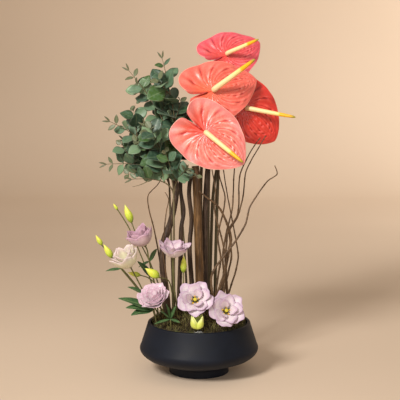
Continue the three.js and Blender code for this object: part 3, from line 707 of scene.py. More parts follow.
def spathe_veins(across, up):
    """How deep in a vein a place is, from 0 to 1, and how high on a pucker between veins. The
    angle under which stem and tip are seen is the same all along a vein; the ratio of the two
    distances counts the puckers along it."""
    tip = spathe_edge(0.0) * 0.98
    stem_way = -np.stack([across, up], -1)
    tip_way = np.stack([-across, tip - up], -1)
    far, near = np.linalg.norm(stem_way, axis=-1) + 1e-4, np.linalg.norm(tip_way, axis=-1) + 1e-4
    seen = np.clip((stem_way * tip_way).sum(-1) / (far * near), -1, 1)
    fan = (1 - np.arccos(seen) / np.pi) * VEINS
    nearest = np.round(fan)
    off = fan - nearest
    groove = np.exp(-((off / 0.13) ** 2))
    ratio = np.log(far / near)
    beat = ratio * 1.5 + 0.37 * np.mod(nearest, 3) + 0.3 * np.sin(fan * 3.7 + ratio * 2.3)
    lumps = 0.35 * np.cos(2 * np.pi * beat) + 0.15 * np.sin(3 * np.pi * beat + fan * 5)
    return groove, (0.62 + 0.55 * lumps) * np.cos(np.pi * off) ** 2


# %% Spathe blades
# Each flower: where stem, spathe and spadix meet, the way the spathe faces, the way its tip
# points and its length, in millimetres above the rim, and how its margin waves.
SPATHES = [
    ([15, -60, 386], [-0.12, -0.94, 0.3], [0.76, -0.1, -0.62], 163, 0.3),
    ([29, -8, 466], [0.12, -0.92, 0.34], [0.93, 0.12, 0.3], 164, 1.7),
    ([56, 54, 534], [0.1, -0.86, 0.45], [0.88, 0.1, 0.48], 140, 2.6),
    ([94, 28, 429], [0.16, -0.96, 0.12], [0.62, 0.26, -0.72], 160, 4.1),
]
SPATHE_ROWS, SPATHE_SIDES = 84, 270


def spathe_grid(at, faces, tip, length, wave):
    """The blade as rings from the stem outwards: share of the edge's distance by angle."""
    front = unit(faces)
    up = np.asarray(tip, float)
    up = unit(up - front * (up @ front))
    side = np.cross(up, front)
    share = np.linspace(0.004, 1, SPATHE_ROWS)[:, None] ** 0.9
    way_round = np.linspace(-1, 1, SPATHE_SIDES)[None]
    turn = np.pi * (0.6 * way_round + 0.4 * np.sin(way_round * np.pi / 2))  # closer at the notch
    edge = spathe_edge(turn) * (1 + 0.006 * np.sin(9 * turn + wave))
    across, upward = share * edge * np.sin(turn), share * edge * np.cos(turn)
    groove, pucker = spathe_veins(across, upward)
    room = np.clip(share * 1.5, 0, 1) * (1 - share**10)
    carved = (0.034 * pucker * share**0.5 - 0.012 * groove) * room
    waves = 0.014 * share**4 * np.sin(6 * turn + wave) + 0.006 * share**3 * np.sin(11 * turn - wave)
    rise = spathe_rise(share, turn) + waves
    form = np.stack([across + 0 * turn, upward + 0 * turn, rise + carved], -1) * length
    points = form[..., :1] * side + form[..., 1:2] * up + form[..., 2:] * front
    ear = np.exp(-(((np.pi - np.abs(turn)) / 0.75) ** 2)) + 0 * share
    return above_rim(points + np.asarray(at, float)), share + 0 * turn, (pucker - groove) * room, ear


# %% Spathe wax
def waxy(name, deep, body, light, margin, heart):
    """Anthurium wax. The point values are: along, from the stem to the edge; across, from the
    bottom of a vein at -1 to the top of a pucker at 1; tone, 1 at the notch and 0 far from it."""
    made = Finish(name, Roughness=0.36, Coat_Weight=0.22, Coat_Roughness=0.2,
                  Specular_IOR_Level=0.5, Subsurface_Weight=0.12, Subsurface_Scale=0.004,
                  Subsurface_Radius=(1.0, 0.35, 0.25))
    along, across = made.value("along"), made.value("across")
    mottle = made.noise(3.0, detail=4, rough=0.6)
    patch = made.noise(30, detail=2)
    # Painted shade and highlight: the colour runs from the deep one at the bottom of each vein (painted
    # shade) to the light one on top of each pucker (painted highlight), under a random mottle.
    relief = made.maths("MULTIPLY_ADD", mottle, 0.45, made.maths("MULTIPLY_ADD", across, 0.7, 0.2))
    colour = made.ramp(relief, (0.12, deep), (0.42, body), (1.0, light))
    colour = made.blend(made.level(along, 0.6, 1.0, 0.0, 0.55), colour, margin)
    lobe = made.value("tone")
    ear = made.maths("MULTIPLY_ADD", lobe, -0.4, along)
    colour = made.blend(made.level(ear, 0.0, 0.62, 0.85, 0.0), colour, heart)
    shade = made.ramp(patch, (0.3, (235, 222, 218)), (0.7, (255, 255, 255)))
    colour = made.blend(0.6, colour, shade, "MULTIPLY")
    # A painted highlight: a thin line of the light colour along the edge, left out at the notch.
    rim = made.maths("MULTIPLY", made.level(along, 0.975, 1.0), made.level(lobe, 0.9, 0.97, 1.0, 0.0))
    colour = made.blend(rim, colour, light)
    # Painted shade: a thin line of the deep colour in the crease at the notch.
    colour = made.blend(made.level(lobe, 0.988, 1.0, 0.0, 0.6), colour, deep)
    made.paint(colour, made.level(mottle, 0.3, 0.7, 0.34, 0.46))
    return made.bump(made.noise(1.2, detail=3), 0.15, 0.5).material


# Each spathe's colours: deep, which is painted shade in the veins and at the notch; body; light, which
# is a painted highlight on the puckers and along the edge; margin; and heart.
WAX = [
    waxy("salmon spathe", (186, 44, 44), (220, 104, 88), (244, 182, 166),
         (232, 142, 142), (212, 60, 42)),
    waxy("coral spathe", (168, 34, 34), (224, 94, 78), (240, 148, 130),
         (232, 116, 104), (228, 106, 74)),
    waxy("rose spathe", (152, 30, 46), (218, 74, 80), (238, 142, 142),
         (222, 90, 110), (212, 74, 68)),
    waxy("deep red spathe", (128, 14, 14), (206, 48, 36), (230, 100, 80),
         (222, 58, 50), (214, 52, 30)),
]

# %% Spathes in place
for number, (spathe, material) in enumerate(zip(SPATHES, WAX), 1):
    blade, along, relief, ear = spathe_grid(*spathe)
    taken.append(blade[::4, ::5].reshape(-1, 3))
    sheet = Grids()
    sheet.add(blade, along=along, across=relief, tone=ear)
    sheet = sheet.build(f"anthurium_spathe_{number}", 1.5 * MM)
    place(sheet, material, f"anthurium_{number}_spathe")
print("spathes:", SPATHE_ROWS * SPATHE_SIDES, "points each")

# %% Spadices
spadix_flesh = Finish("spadix", Roughness=0.5, Subsurface_Weight=0.1, Subsurface_Scale=0.003,
                      Subsurface_Radius=(1.0, 0.8, 0.3))
along = spadix_flesh.value("along")
speck = spadix_flesh.noise(0.9, detail=2)
mark = spadix_flesh.maths("MULTIPLY_ADD", speck, 0.06, along)
CREAM_TO_GOLD = [(0.0, (238, 196, 150)), (0.5, (242, 208, 150)), (0.7, (240, 208, 128)),
                 (0.74, (238, 176, 16)), (0.92, (226, 166, 8)), (1.0, (150, 136, 20))]
spadix_flesh.paint(spadix_flesh.ramp(mark, *CREAM_TO_GOLD))
spadix_flesh.bump(speck, 0.2, 0.5)
ROD_STEP = 0.7  # millimetres between rings
ROD_SIDES = 72
ROUNDED_END = 7  # millimetres
SPIRALS = 9  # of flowers, wound each way round the rod
WINDING = 1.3  # radians for each millimetre along it
for number, spathe in enumerate(SPATHES, 1):
    node = f"anthurium_{number}_spadix"
    line, radius = packed_line(node, ROD_STEP, above_rim(spathe[0]), end=0.72)
    run = np.arange(len(line))[:, None] * ROD_STEP
    turn = round_turn(ROD_SIDES)[None]
    flowers = np.cos(SPIRALS * turn + run * WINDING) * np.cos(SPIRALS * turn - run * WINDING)
    end = np.clip((len(line) - 1 - np.arange(len(line))) * ROD_STEP / ROUNDED_END, 0, 1)
    radius = radius * np.sqrt(np.clip(1 - (1 - end) ** 2, 0.02, 1))
    rod = single(f"anthurium_rod_{number}",
                 carry(line, radius, ROD_SIDES, 1 + 0.05 * np.maximum(0, flowers)))
    place(rod, spadix_flesh.material, node)
print("spadices:", len(SPATHES))

# %% Anthurium stems
peduncle = Finish("anthurium stem", Roughness=0.42)
streak = peduncle.noise(1.2, 30, detail=3)
rise = peduncle.value("along")
base = peduncle.ramp(rise, (0.0, (70, 66, 40)), (0.8, (84, 72, 44)), (1.0, (150, 84, 62)))
peduncle.paint(peduncle.blend(peduncle.level(streak, 0.3, 0.7, 0.0, 0.5), base, (78, 62, 40)))
for number in range(1, 5):
    node = f"anthurium_{number}_stem"
    skin = carry(*packed_line(node, 3), 20)
    taken.append(skin[::3, ::5].reshape(-1, 3))
    stalk = single(f"anthurium_stalk_{number}", skin)
    place(stalk, peduncle.material, node)
print("the eucalyptus keeps clear of", sum(map(len, taken)), "points")

# %% [markdown]
# ## Eucalyptus
# The branches rise behind the poles and break into sprays of round, blue-green leaves, set in
# pairs that turn a quarter from one to the next and shrink to narrow tips. Instances could be
# scattered over a curve, but every leaf here is its own small grid, so it can cup, twist and
# fold along its midrib in its own way.


# %% Leaf blades
def leaf_grid(length, width, cup, droop, twist, rows=10, columns=7, stalk=0.1):
    """A leaf from the origin along +X and facing +Z. Half its width is the sine of its way
    along, raised to a power; it cups across, droops along, and is folded at the midrib."""
    along = np.linspace(0, 1, rows)[:, None]
    across = np.linspace(-1, 1, columns)[None]
    blade = np.clip((along - stalk) / (1 - stalk), 0, 1)
    half = np.maximum(0.03 * width, width / 2 * np.sin(np.pi * blade**0.85) ** 0.72)
    y = across * half
    fold = cup * np.abs(across) ** 1.3 * half + 0.02 * width * np.cos(9 * along) * across**2
    z = fold - droop * length * along**2
    turn = twist * along
    turned_y, turned_z = y * np.cos(turn) - z * np.sin(turn), y * np.sin(turn) + z * np.cos(turn)
    return np.stack([along * length + 0 * across, turned_y, turned_z], -1)


def oriented(grid, base, x_way, z_way):
    """A grid moved to a base, its +X along x_way and its +Z as near as can be to z_way."""
    x = unit(x_way)
    z = unit(z_way - x * np.dot(z_way, x))
    frame_rows = np.stack([x, np.cross(z, x), z])
    return grid @ frame_rows + np.asarray(base, float)


def scatter(i, j):
    """A repeatable value from 0 to 1: the fraction of a large sine."""
    wave = math.sin(i * 12.9898 + j * 78.233) * 43758.5453
    return wave - math.floor(wave)


taken = (np.concatenate(taken) - above_rim([0, 0, 0])) / MM
CLEARANCE = 7  # millimetres
LOWEST_LEAF = 286  # above the rim: the sprays are stripped below it
SMALL_LEAF = 22  # leaves up to this length are young, and take the brown end of the greens
YOUNG_TONE = 0.97


def is_clear(grid):
    """Whether a leaf's middle line and margins keep clear of wood, stems and flowers."""
    probes = grid[2::3, ::3].reshape(-1, 1, 3)
    return np.linalg.norm(taken - probes, axis=-1).min() > CLEARANCE


def add_leaf_pair(leaves, at, tangent, turn, size, share, seed, lean=0.5):
    """Two opposite leaves at a point of a stem. They lean along it, and face up it and towards
    the light at the front, each in its own way. One that would touch a flower is left out."""
    side = unit(np.cross([0, 0, 1], tangent))
    over = np.cross(tangent, side)
    for half in range(2):
        angle = turn + half * math.pi
        out = side * 0.6 * math.cos(angle) + over * math.sin(angle)
        roll, nod = scatter(seed, 7 + half) - 0.5, scatter(seed, 17 + half) - 0.5
        light = np.array([0.9 * roll - 0.2, -1.0, 0.5 + nod])
        grid = leaf_grid(
            size, size * share, 0.1 + 0.12 * scatter(seed, half), 0.08 + 0.12 * roll, roll * 0.6
        )
        grid = oriented(grid, at, unit(out + tangent * lean), tangent * 0.4 + light)
        if is_clear(grid) and grid[..., 2].min() > LOWEST_LEAF:
            tone = 0.9 * scatter(seed * 3 + half, 11) if size > SMALL_LEAF else YOUNG_TONE
            leaves.add(grid, tone=tone)


# %% Sprays
# Each branch: its foot, its knee, and each spray's tip, largest leaf and turn, as packed.
BRANCHES = {
    "eucalyptus_upper": ([-24, 38], [-38, 26, 270], [
        ([-72, -4, 528], 50, 2.75), ([-138, 10, 504], 42, 0), ([-104, 34, 456], 44, 2.62)]),
    "eucalyptus_left": ([-54, 54], [-60, 46, 262], [
        ([-176, 6, 404], 42, 1.7), ([-186, 34, 316], 38, 0), ([-150, 50, 362], 42, 0.26)]),
    "eucalyptus_front": ([-50, -17], [-50, -20, 256], [
        ([-130, -52, 296], 38, 0), ([-24, -62, 316], 34, 0), ([-104, -42, 398], 44, 0)]),
}
STEM_FOOT = -65  # below the rim, in the foam
SPRAY_PAIRS = 8
SHOOTS = (0.46, 0.74)  # where the side shoots leave a spray
SPRAY_RINGS, SHOOT_RINGS = 40, 14


def arch(knee, tip):
    """A quadratic arc from the knee, straight up at first, over to the tip, as two functions of
    the share of the way: the point there, and the direction."""
    knee, tip = np.asarray(knee, float), np.asarray(tip, float)
    crown = knee + [0, 0, 0.45 * np.linalg.norm(tip - knee)]

    def point(t):
        return knee * (1 - t) ** 2 + crown * 2 * t * (1 - t) + tip * t**2

    def slope(t):
        return unit((crown - knee) * (1 - t) + (tip - crown) * t)

    return point, slope


def add_shoot(leaves, twigs, start, way, length, leaf, seed):
    """A side shoot: a line that bows upwards, with pairs of leaves that shrink to its end."""
    t = np.linspace(0, 1, SHOOT_RINGS)[:, None]
    lift = np.array([0, 0, 0.2 * length])
    line = start + way * length * t + lift * t**2
    twigs.add(carry(line, np.linspace(1.1, 0.4, SHOOT_RINGS), 6), wrap=True)
    for pair, share in enumerate((0.4, 0.75, 1.0)):
        at = start + way * length * share + lift * share**2
        tangent = unit(way * length + 2 * lift * share)
        size = leaf * (1 - 0.16 * pair**1.8)
        turn = seed + pair * math.pi / 2
        add_leaf_pair(leaves, at, tangent, turn, size, 0.84 - 0.06 * pair, seed * 7 + pair, 0.6)


def add_spray(leaves, twigs, knee, tip, leaf, turned, seed):
    """A spray: its arched stem, pairs of leaves from a third of the way to its end, two side
    shoots, and two closed leaves at the tip."""
    point, slope = arch(knee, tip)
    t = np.linspace(0, 1, SPRAY_RINGS)[:, None]
    twigs.add(carry(point(t), np.linspace(1.8, 0.5, SPRAY_RINGS), 8), wrap=True)
    for pair, share in enumerate(np.linspace(0.3, 0.95, SPRAY_PAIRS)):
        step = pair / (SPRAY_PAIRS - 1)
        size = leaf * (1 - 0.52 * step**3.5)
        turn = turned + pair * math.pi / 4 + (scatter(seed, pair) - 0.5) * 0.6
        roundness = 0.84 - 0.4 * step**4
        add_leaf_pair(leaves, point(share), slope(share), turn, size, roundness, seed * 12 + pair)
    for shoot, share in enumerate(SHOOTS):
        side = unit(np.cross([0, 0, 1], slope(share)))
        over = np.cross(slope(share), side)
        angle = turned + 2.4 * shoot + seed
        way = unit(slope(share) + side * 0.7 * math.cos(angle) + over * 1.1 * math.sin(angle))
        length = 60 - 22 * shoot * share
        add_shoot(leaves, twigs, point(share), way, length, leaf * 0.9, seed * 3 + shoot)
    for half in range(2):
        grid = leaf_grid(17, 3.6, 0.3, 0.1, 0.2)
        out = unit(np.cross(slope(1.0), [0, 1, 0.2])) * (0.35 if half else -0.35)
        leaves.add(oriented(grid, point(1.0), slope(1.0) + out, np.array([0, -1, 0.3])), tone=0.98)


# %% Eucalyptus finishes
blue_green = Finish("eucalyptus leaf", Roughness=0.42, Sheen_Weight=0.06, Sheen_Roughness=0.4,
                    Specular_IOR_Level=0.4)
tone = blue_green.value("tone")
along, across = blue_green.value("along"), blue_green.value("across")
LEAF_GREENS = [(0.0, (62, 92, 40)), (0.16, (42, 66, 48)), (0.45, (62, 90, 68)),
                (0.7, (88, 114, 86)), (0.9, (116, 142, 106)), (1.0, (82, 70, 42))]
body = blue_green.ramp(tone, *LEAF_GREENS)
rib = blue_green.level(blue_green.maths("ABSOLUTE", across), 0.0, 0.1, 1.0, 0.0)
body = blue_green.blend(blue_green.maths("MULTIPLY", rib, 0.35), body, (134, 150, 108))
edge = blue_green.level(blue_green.maths("ABSOLUTE", across), 0.82, 1.0, 0.0, 0.45)
body = blue_green.blend(edge, body, (84, 62, 46))
dust = blue_green.noise(6, detail=4)
body = blue_green.blend(blue_green.level(dust, 0.4, 0.7, 0.0, 0.2), body, (120, 146, 128))
blue_green.paint(body, blue_green.level(dust, 0.3, 0.7, 0.36, 0.52))
blue_green.bump(blue_green.noise(2.5, detail=3), 0.15, 0.5)

twig_green = Finish("eucalyptus twig", Roughness=0.6)
twig_green.paint(
    twig_green.ramp(twig_green.noise(1.5, 20), (0.35, (84, 66, 46)), (0.7, (118, 112, 78)))
)

# %% Branches in place
count = 0
for number, (node, (foot, knee, sprays)) in enumerate(BRANCHES.items()):
    leaves, twigs = Grids(), Grids()
    twigs.add(stem_skin([[*foot, STEM_FOOT], [*foot, 0], knee], 4, 2.6, 2.0), wrap=True)
    for i, (tip, leaf, turned) in enumerate(sprays):
        add_spray(leaves, twigs, knee, tip, leaf, turned, number * 4 + i)
    count += len(leaves.quads)
    slot = "eucalyptus_leaf"
    place_above_rim(leaves, f"{node}_leaves", blue_green.material, node, 0.5 * MM)
    place_above_rim(twigs, f"{node}_twigs", twig_green.material, node)
print("eucalyptus:", count, "leaves")

# %% [markdown]
# ## Lisianthus
# A lisianthus bloom is five or six broad petals round a green cup, each overlapping the next and
# frilled at its lip. Open blooms show a yellow stigma; half-open ones stay cups, and one is a
# full rosette. Cloth could be draped for petals, but their curve is simple: out to a belly, then
# away to the lip. That profile, an overlap and a frill are all a petal needs.


# %% Petals
def petal_grid(form, size, start, half_angle, seed, frill=1.0):
    """One petal of a bloom that faces +Z from the origin. With s from base to lip and c from
    side to side: the reach is a parabola to the belly plus s squared to the radius, the rise
    likewise; the lip is cut back at its corners, drawn to a slight point in the middle, and
    frilled by waves that grow with s."""
    radius, height, belly, belly_height, point = form
    s = np.linspace(0, 1, 18)[:, None]
    c = np.linspace(-1, 1, 33)[None]
    bend = 2 * s * (1 - s)
    lobe = 1 - point * s * np.abs(c) ** 1.9 + 0.05 * s**4 * np.exp(-((c / 0.22) ** 2))
    reach = (bend * belly + s**2 * radius) * lobe * size
    rise = (bend * belly_height + s**2 * height) * lobe * (2 - size) ** 0.5
    phase = 6.3 * scatter(seed, 1)
    wave = 2.3 * np.sin(3.0 * c + phase) + 0.7 * s**2 * np.sin(7.5 * c + 2 * phase)
    ruffle = 0.45 * s**5 * np.sin(12 * c + 3 * phase)
    rise = rise + frill * size * s**3 * (wave + ruffle)
    reach = reach + frill * size * s**3 * (1.2 * np.cos(6.5 * c + phase) + ruffle)
    reach = reach + 1.6 * c * s + 2.0 * (1 - s)
    rise = rise - 0.8 * size * s**7 + 1.2 * c * s
    angle = start + c * half_angle * (0.9 + 0.1 * s)
    return np.stack([reach * np.cos(angle), reach * np.sin(angle), 4.5 + rise + 0 * c], -1)


def turn_to(direction):
    """The rotation that takes +Z to a direction by the shortest way, rows first."""
    x, y, z = unit(direction)
    cross = np.array([[0, 0, x], [0, 0, y], [-x, -y, 0.0]])
    return (np.eye(3) + cross + cross @ cross / (1 + z)).T


# %% Bloom forms
# Radius and height of the lip, radius and height of the belly, and how far the lip's corners
# are cut back.
OPEN = (36, 25, 12, 13, 0.3)
WIDE = (31, 26, 17, 4, 0.4)
CUP = (28, 32, 21, 3, 0.34)
ROSETTE = (32, 26, 18, 8, 0.26)
GREEN = (13, 27, 19, 4, 0.6)
# For each form, rings of petals: size, how many, half of a petal's angle, and frill.
RINGS = {
    OPEN: [(1.0, 5, 0.84, 1.2), (0.8, 5, 0.76, 1.3), (0.52, 3, 0.8, 0.9)],
    WIDE: [(1.0, 5, 0.84, 1.3), (0.84, 5, 0.8, 1.2), (0.62, 4, 0.9, 1.0)],
    CUP: [(1.0, 5, 0.9, 1.1), (0.84, 4, 0.9, 1.0), (0.62, 3, 0.9, 1.0)],
    ROSETTE: [(1.0, 6, 0.72, 1.1), (0.84, 6, 0.7, 1.1), (0.66, 5, 0.8, 1.2), (0.48, 4, 0.9, 1.3),
              (0.32, 3, 1.1, 1.4)],
    GREEN: [(1.0, 4, 0.95, 0.5), (0.82, 3, 1.1, 0.5)],
}
# Each bloom: its stem's foot and the points that it passes, its seat, the way it faces, its
# form and its stem's leaves as (point of the stem, tip, width), in millimetres above the rim.
BLOOMS = [
    ([-10, -36], [[-10, -38, 22], [-9, -46, 40]], [-8, -60, 52], [0.02, -0.86, 0.5], OPEN, []),
    ([46, -38], [[47, -40, 18], [49, -46, 24]], [52, -60, 30], [0.1, -0.86, 0.5], OPEN, []),
    ([-64, -32], [[-66, -34, 20], [-76, -40, 36]], [-83, -50, 46], [-0.24, -0.6, 0.76],
     ROSETTE, []),
    ([-42, -26], [[-44, -32, 30], [-50, -46, 90]], [-51, -52, 137], [0.06, -0.2, 0.98], WIDE, []),
    ([-74, 6], [[-78, 2, 30], [-92, -10, 90], [-101, -18, 135]], [-106, -20, 156],
     [-0.4, -0.2, 0.9], CUP, [(2, [-122, -6, 126], 15)]),
    ([-76, -20], [[-82, -24, 20], [-108, -34, 64], [-126, -44, 102]], [-134, -50, 119],
     [-0.42, -0.3, 0.86], CUP, [(2, [-140, -46, 82], 13)]),
    ([-4, -74], [], [-4, -88, 3], [0.02, -0.3, 0.95], GREEN, []),
]


# %% Petal and leaf finishes
def petal_skin(name, lip, body, throat, inner):
    """Petal flesh: along runs from the throat to the lip, and tone falls from 1 on the outer
    petals to near 0 on the innermost, which take up the inner colour."""
    made = Finish(name, Roughness=0.6, Sheen_Weight=0.1, Specular_IOR_Level=0.3,
                  Subsurface_Weight=0.1, Subsurface_Scale=0.003, Subsurface_Radius=(1.0, 0.7, 0.8))
    along, tone = made.value("along"), made.value("tone")
    colour = made.ramp(along, (0.0, throat), (0.16, throat), (0.36, body), (0.8, body), (1.0, lip))
    shade = made.ramp(tone, (0.0, inner), (0.9, (255, 255, 255)))
    veins = made.noise(1.2, 5, detail=3)
    colour = made.blend(made.level(along, 0.1, 0.4), colour, made.blend(1.0, colour, shade, "MULTIPLY"))
    made.paint(made.blend(made.level(veins, 0.4, 0.8, 0.0, 0.14), colour, lip))
    return made.bump(veins, 0.12, 0.4).material


# The lilac throat is partly its own olive colour and partly painted shade, darkened for the deep cup.
LILAC = petal_skin("lilac petal", (192, 166, 190), (226, 214, 220), (96, 80, 34), (234, 222, 228))
PINK = petal_skin("pink petal", (214, 180, 200), (244, 234, 238), (248, 226, 232), (255, 250, 252))
PALE_MAUVE = petal_skin("pale mauve petal", (196, 166, 186), (226, 214, 216),
                        (190, 200, 130), (240, 226, 232))
MAUVE = petal_skin("mauve petal", (190, 154, 172), (214, 188, 194),
                   (190, 190, 140), (236, 214, 226))
CREAM = petal_skin("cream petal", (222, 204, 204), (226, 222, 190),
                   (206, 214, 140), (244, 236, 236))
LIME = petal_skin("lime petal", (232, 238, 160), (208, 220, 96), (150, 176, 50), (236, 240, 200))
PETALS = [LILAC, LILAC, PINK, PALE_MAUVE, MAUVE, CREAM, LIME]

stem_green = Finish("lisianthus stem", Roughness=0.5)
stem_green.paint(
    stem_green.ramp(stem_green.noise(1.5, 24, detail=3), (0.3, (74, 74, 40)),
                    (0.7, (112, 112, 62)))
)
leaf_green = Finish("lisianthus leaf", Roughness=0.45)
rib = leaf_green.level(leaf_green.maths("ABSOLUTE", leaf_green.value("across")), 0.0, 0.14, 0.7, 0.0)
flesh = leaf_green.ramp(leaf_green.noise(7, detail=4), (0.3, (44, 76, 44)), (0.7, (78, 112, 66)))
leaf_green.paint(leaf_green.blend(rib, flesh, (140, 164, 110)))
leaf_green.bump(leaf_green.noise(2, detail=3), 0.2, 0.4)
heart_yellow = Finish("stigma and stamens", Roughness=0.6)
heart_yellow.paint(
    heart_yellow.ramp(heart_yellow.value("tone"), (0.0, (110, 92, 26)),
                      (0.5, (206, 160, 30)), (1.0, (196, 182, 40)))
)
heart_yellow.bump(heart_yellow.noise(0.6, detail=2), 0.3, 0.8)


# %% Parts of a bloom
def add_blade(leaves, base, tip, width, tone=0.5, faces=(0, -0.5, 0.8)):
    """A lisianthus leaf from a point to its tip, both in millimetres above the rim."""
    base, tip = np.asarray(base, float), np.asarray(tip, float)
    way = tip - base
    size = np.linalg.norm(way)
    grid = leaf_grid(size, width, 0.25, 0.06, 0.25, rows=14, columns=9, stalk=0.03)
    leaves.add(oriented(grid, base, way, np.array(faces)), tone=tone)


def place_stalk(stalk, sepals, name, node, thickness):
    """Places a stalk, and its sepals and leaves."""
    place_above_rim(stalk, f"{name}_stalk", stem_green.material, node)
    place_above_rim(sepals, f"{name}_sepals", leaf_green.material, node, thickness)


def spoke(k, start=0.0):
    """The way out from +Z of the k-th of five parts round it."""
    angle = k * 2 * math.pi / 5 + start
    return np.array([math.cos(angle), math.sin(angle), 0])


def add_heart(parts, scale):
    """A two-lobed stigma on its style and five stamens round it, in the bloom's own frame."""
    t = np.linspace(0, 1, 14)[:, None]
    style = t * [0, 0, 15 * scale] + [0, 0, 5]
    width = (1.2 + 2.2 * np.exp(-(((t[:, 0] - 0.92) / 0.09) ** 2))) * scale
    parts.add(carry(style, width, 14), wrap=True, tone=1.0)
    for k in range(5):
        out = spoke(k, 0.4)
        line = [0, 0, 5] + out * (1.5 + 5.5 * t**0.7) * scale + [0, 0, 1] * t * 12 * scale
        width = (0.5 + 1.3 * np.exp(-(((t[:, 0] - 0.88) / 0.12) ** 2))) * scale
        parts.add(carry(line, width, 10), wrap=True, tone=0.5)


# %% Blooms in place
for number, (foot, route, seat, faces, form, blades) in enumerate(BLOOMS, 1):
    node = "lisianthus_green" if form == GREEN else f"lisianthus_{number}"
    bloom = f"{node}_bloom"
    front, seat = unit(faces), np.array(seat, float)
    turned = turn_to(front)
    petals, heart, green = Grids(), Grids(), Grids()
    for ring, (size, how_many, half_angle, frill) in enumerate(RINGS[form]):
        for k in range(how_many):
            start = 2 * math.pi * (k + 0.5 * ring) / how_many + number
            seed = number * 40 + ring * 8 + k
            grid = petal_grid(form, size, start, half_angle, seed, frill)
            tone = 1 - 0.24 * ring - 0.15 * scatter(seed, 5)
            petals.add(grid[:, ::-1] @ turned + seat, tone=tone)
    route_points = [[*foot, STEM_FOOT], *route, seat - front * 5, seat + front * 1.5]
    green.add(stem_skin(route_points, 2, 1.7, 1.4), wrap=True)
    t = np.linspace(0, 1, 16)[:, None]
    cup = carry(t * [0, 0, 8.0], (4.6 * np.sin(np.pi * np.clip(t[:, 0], 0.06, 1) ** 0.8 * 0.62)), 20)
    green.add(cup @ turned + seat, wrap=True)
    sepals = Grids()
    reach = form[2] * 0.42 if form != GREEN else 4.0
    for k in range(5):
        out = spoke(k, number)
        way = out * reach + np.array([0, 0, 13.0])
        grid = oriented(leaf_grid(17, 4.4, 0.3, -0.12, 0.1), out * 3.4 + [0, 0, 4], way, -out)
        sepals.add(grid @ turned + seat, tone=0.6)
    for point, tip, width in blades:
        add_blade(sepals, route_points[point], tip, width, scatter(number, point))
    if form == OPEN:
        add_heart(heart, 1.15)
        heart.points = [points @ turned + seat for points in heart.points]
        place_above_rim(heart, f"{node}_heart", heart_yellow.material, bloom)
    slot = "green_bud" if form == GREEN else "lilac_petal"
    place_above_rim(petals, f"{node}_petals", PETALS[number - 1], bloom, 0.45 * MM)
    place_stalk(green, sepals, node, f"{node}_stem", 0.5 * MM)
print("lisianthus:", len(BLOOMS), "blooms")

# %% [markdown]
# ## Buds and leaves
# A lisianthus bud is furled like an umbrella: a pointed, slightly twisted body with the sepals
# lying along it. The furl is a ridge that winds round the bud, so a carried profile does it.

# %% Buds
# Each bud: its stem's foot, the points that it passes, ending with the bud's base and tip, its
# radius, and its stem's leaves.
BUDS = [
    ([-68, 17], [[-74, 18, 40], [-100, 14, 120], [-128, 8, 180], [-135, 6, 200],
     [-149, 6, 238]], 7.6, [(2, [-124, 22, 108], 10), (2, [-86, 4, 148], 12)]),
    ([-80, 24], [[-88, 26, 40], [-118, 26, 130], [-146, 24, 195], [-164, 22, 224],
     [-173, 20, 238]], 3.2, []),
    ([-84, -2], [[-92, -4, 20], [-124, -14, 70], [-156, -20, 112], [-173, -22, 134],
     [-190, -22, 162]], 6.6, [(3, [-186, -26, 110], 9)]),
    ([-84, 9], [[-94, 10, 20], [-130, 6, 76], [-172, 0, 128], [-194, -4, 156],
     [-207, -6, 178]], 4.8, []),
    ([-68, -12], [[-72, -14, 30], [-90, -20, 84], [-104, -26, 96], [-116, -28, 100],
     [-142, -30, 106]], 5.2, []),
    ([-50, -28], [[-50, -27, 26], [-54, -24, 64], [-62, -34, 92], [-78, -48, 100],
     [-106, -56, 120]], 8.6, []),
    ([-30, -28], [[-29, -31, 30], [-31, -35, 80], [-31, -35, 106], [-30, -36, 142]], 6.4, []),
]
bud_skin = Finish("lime bud", Roughness=0.42, Subsurface_Weight=0.1, Subsurface_Scale=0.002,
                  Coat_Weight=0.1)
along = bud_skin.value("along")
body = bud_skin.ramp(along, (0.0, (112, 142, 34)), (0.3, (172, 192, 40)),
                     (0.7, (216, 222, 66)), (1.0, (226, 226, 110)))
streak = bud_skin.noise(0.9, 7, detail=3)
bud_skin.paint(bud_skin.blend(bud_skin.level(streak, 0.4, 0.7, 0, 0.35), body, (236, 236, 150)))
bud_skin.bump(streak, 0.25, 0.6)

for number, (foot, route, radius, blades) in enumerate(BUDS, 1):
    node = f"lisianthus_bud_{number}"
    points = [[*foot, STEM_FOOT], *route]
    line, spots = smooth_line(points, 1.0)
    stalk_line = line[spots <= len(points) - 2 + 0.12]
    stalk, bud, sepals = Grids(), Grids(), Grids()
    stalk.add(carry(stalk_line, np.linspace(1.5, 1.1, len(stalk_line)), 12), wrap=True)
    base, tip = np.array(route[-2], float), np.array(route[-1], float)
    t = np.linspace(0, 1, 44)
    core = base + (tip - base) * t[:, None]
    swell = np.maximum(0.25, radius * np.sin(np.pi * np.clip(t, 0.02, 0.985) ** 0.72))
    turn = round_turn(32)[None]
    furl = np.mod(1.5 * turn / np.pi + 1.1 * t[:, None], 1)
    bud.add(carry(core, swell, 32, 0.93 + 0.12 * furl), wrap=True)
    way, size = unit(tip - base), np.linalg.norm(tip - base)
    side = unit(np.cross(way, [0.3, 0.2, 1]))
    over = np.cross(way, side)
    for k in range(5):
        out = spoke(k) @ [side, over, way]
        lean = way + out * radius / size * 1.1
        grid = leaf_grid(size * 0.62, radius * 0.5, 0.3, -0.2 * radius / size, 0.1)
        sepals.add(oriented(grid, base + out * 1.2, lean, -out), tone=0.4)
    for point, leaf_tip, width in blades:
        add_blade(sepals, points[point], leaf_tip, width, scatter(number, point))
    place_above_rim(bud, f"{node}_body", bud_skin.material, node)
    place_stalk(stalk, sepals, node, node, 0.4 * MM)
print("buds:", len(BUDS))

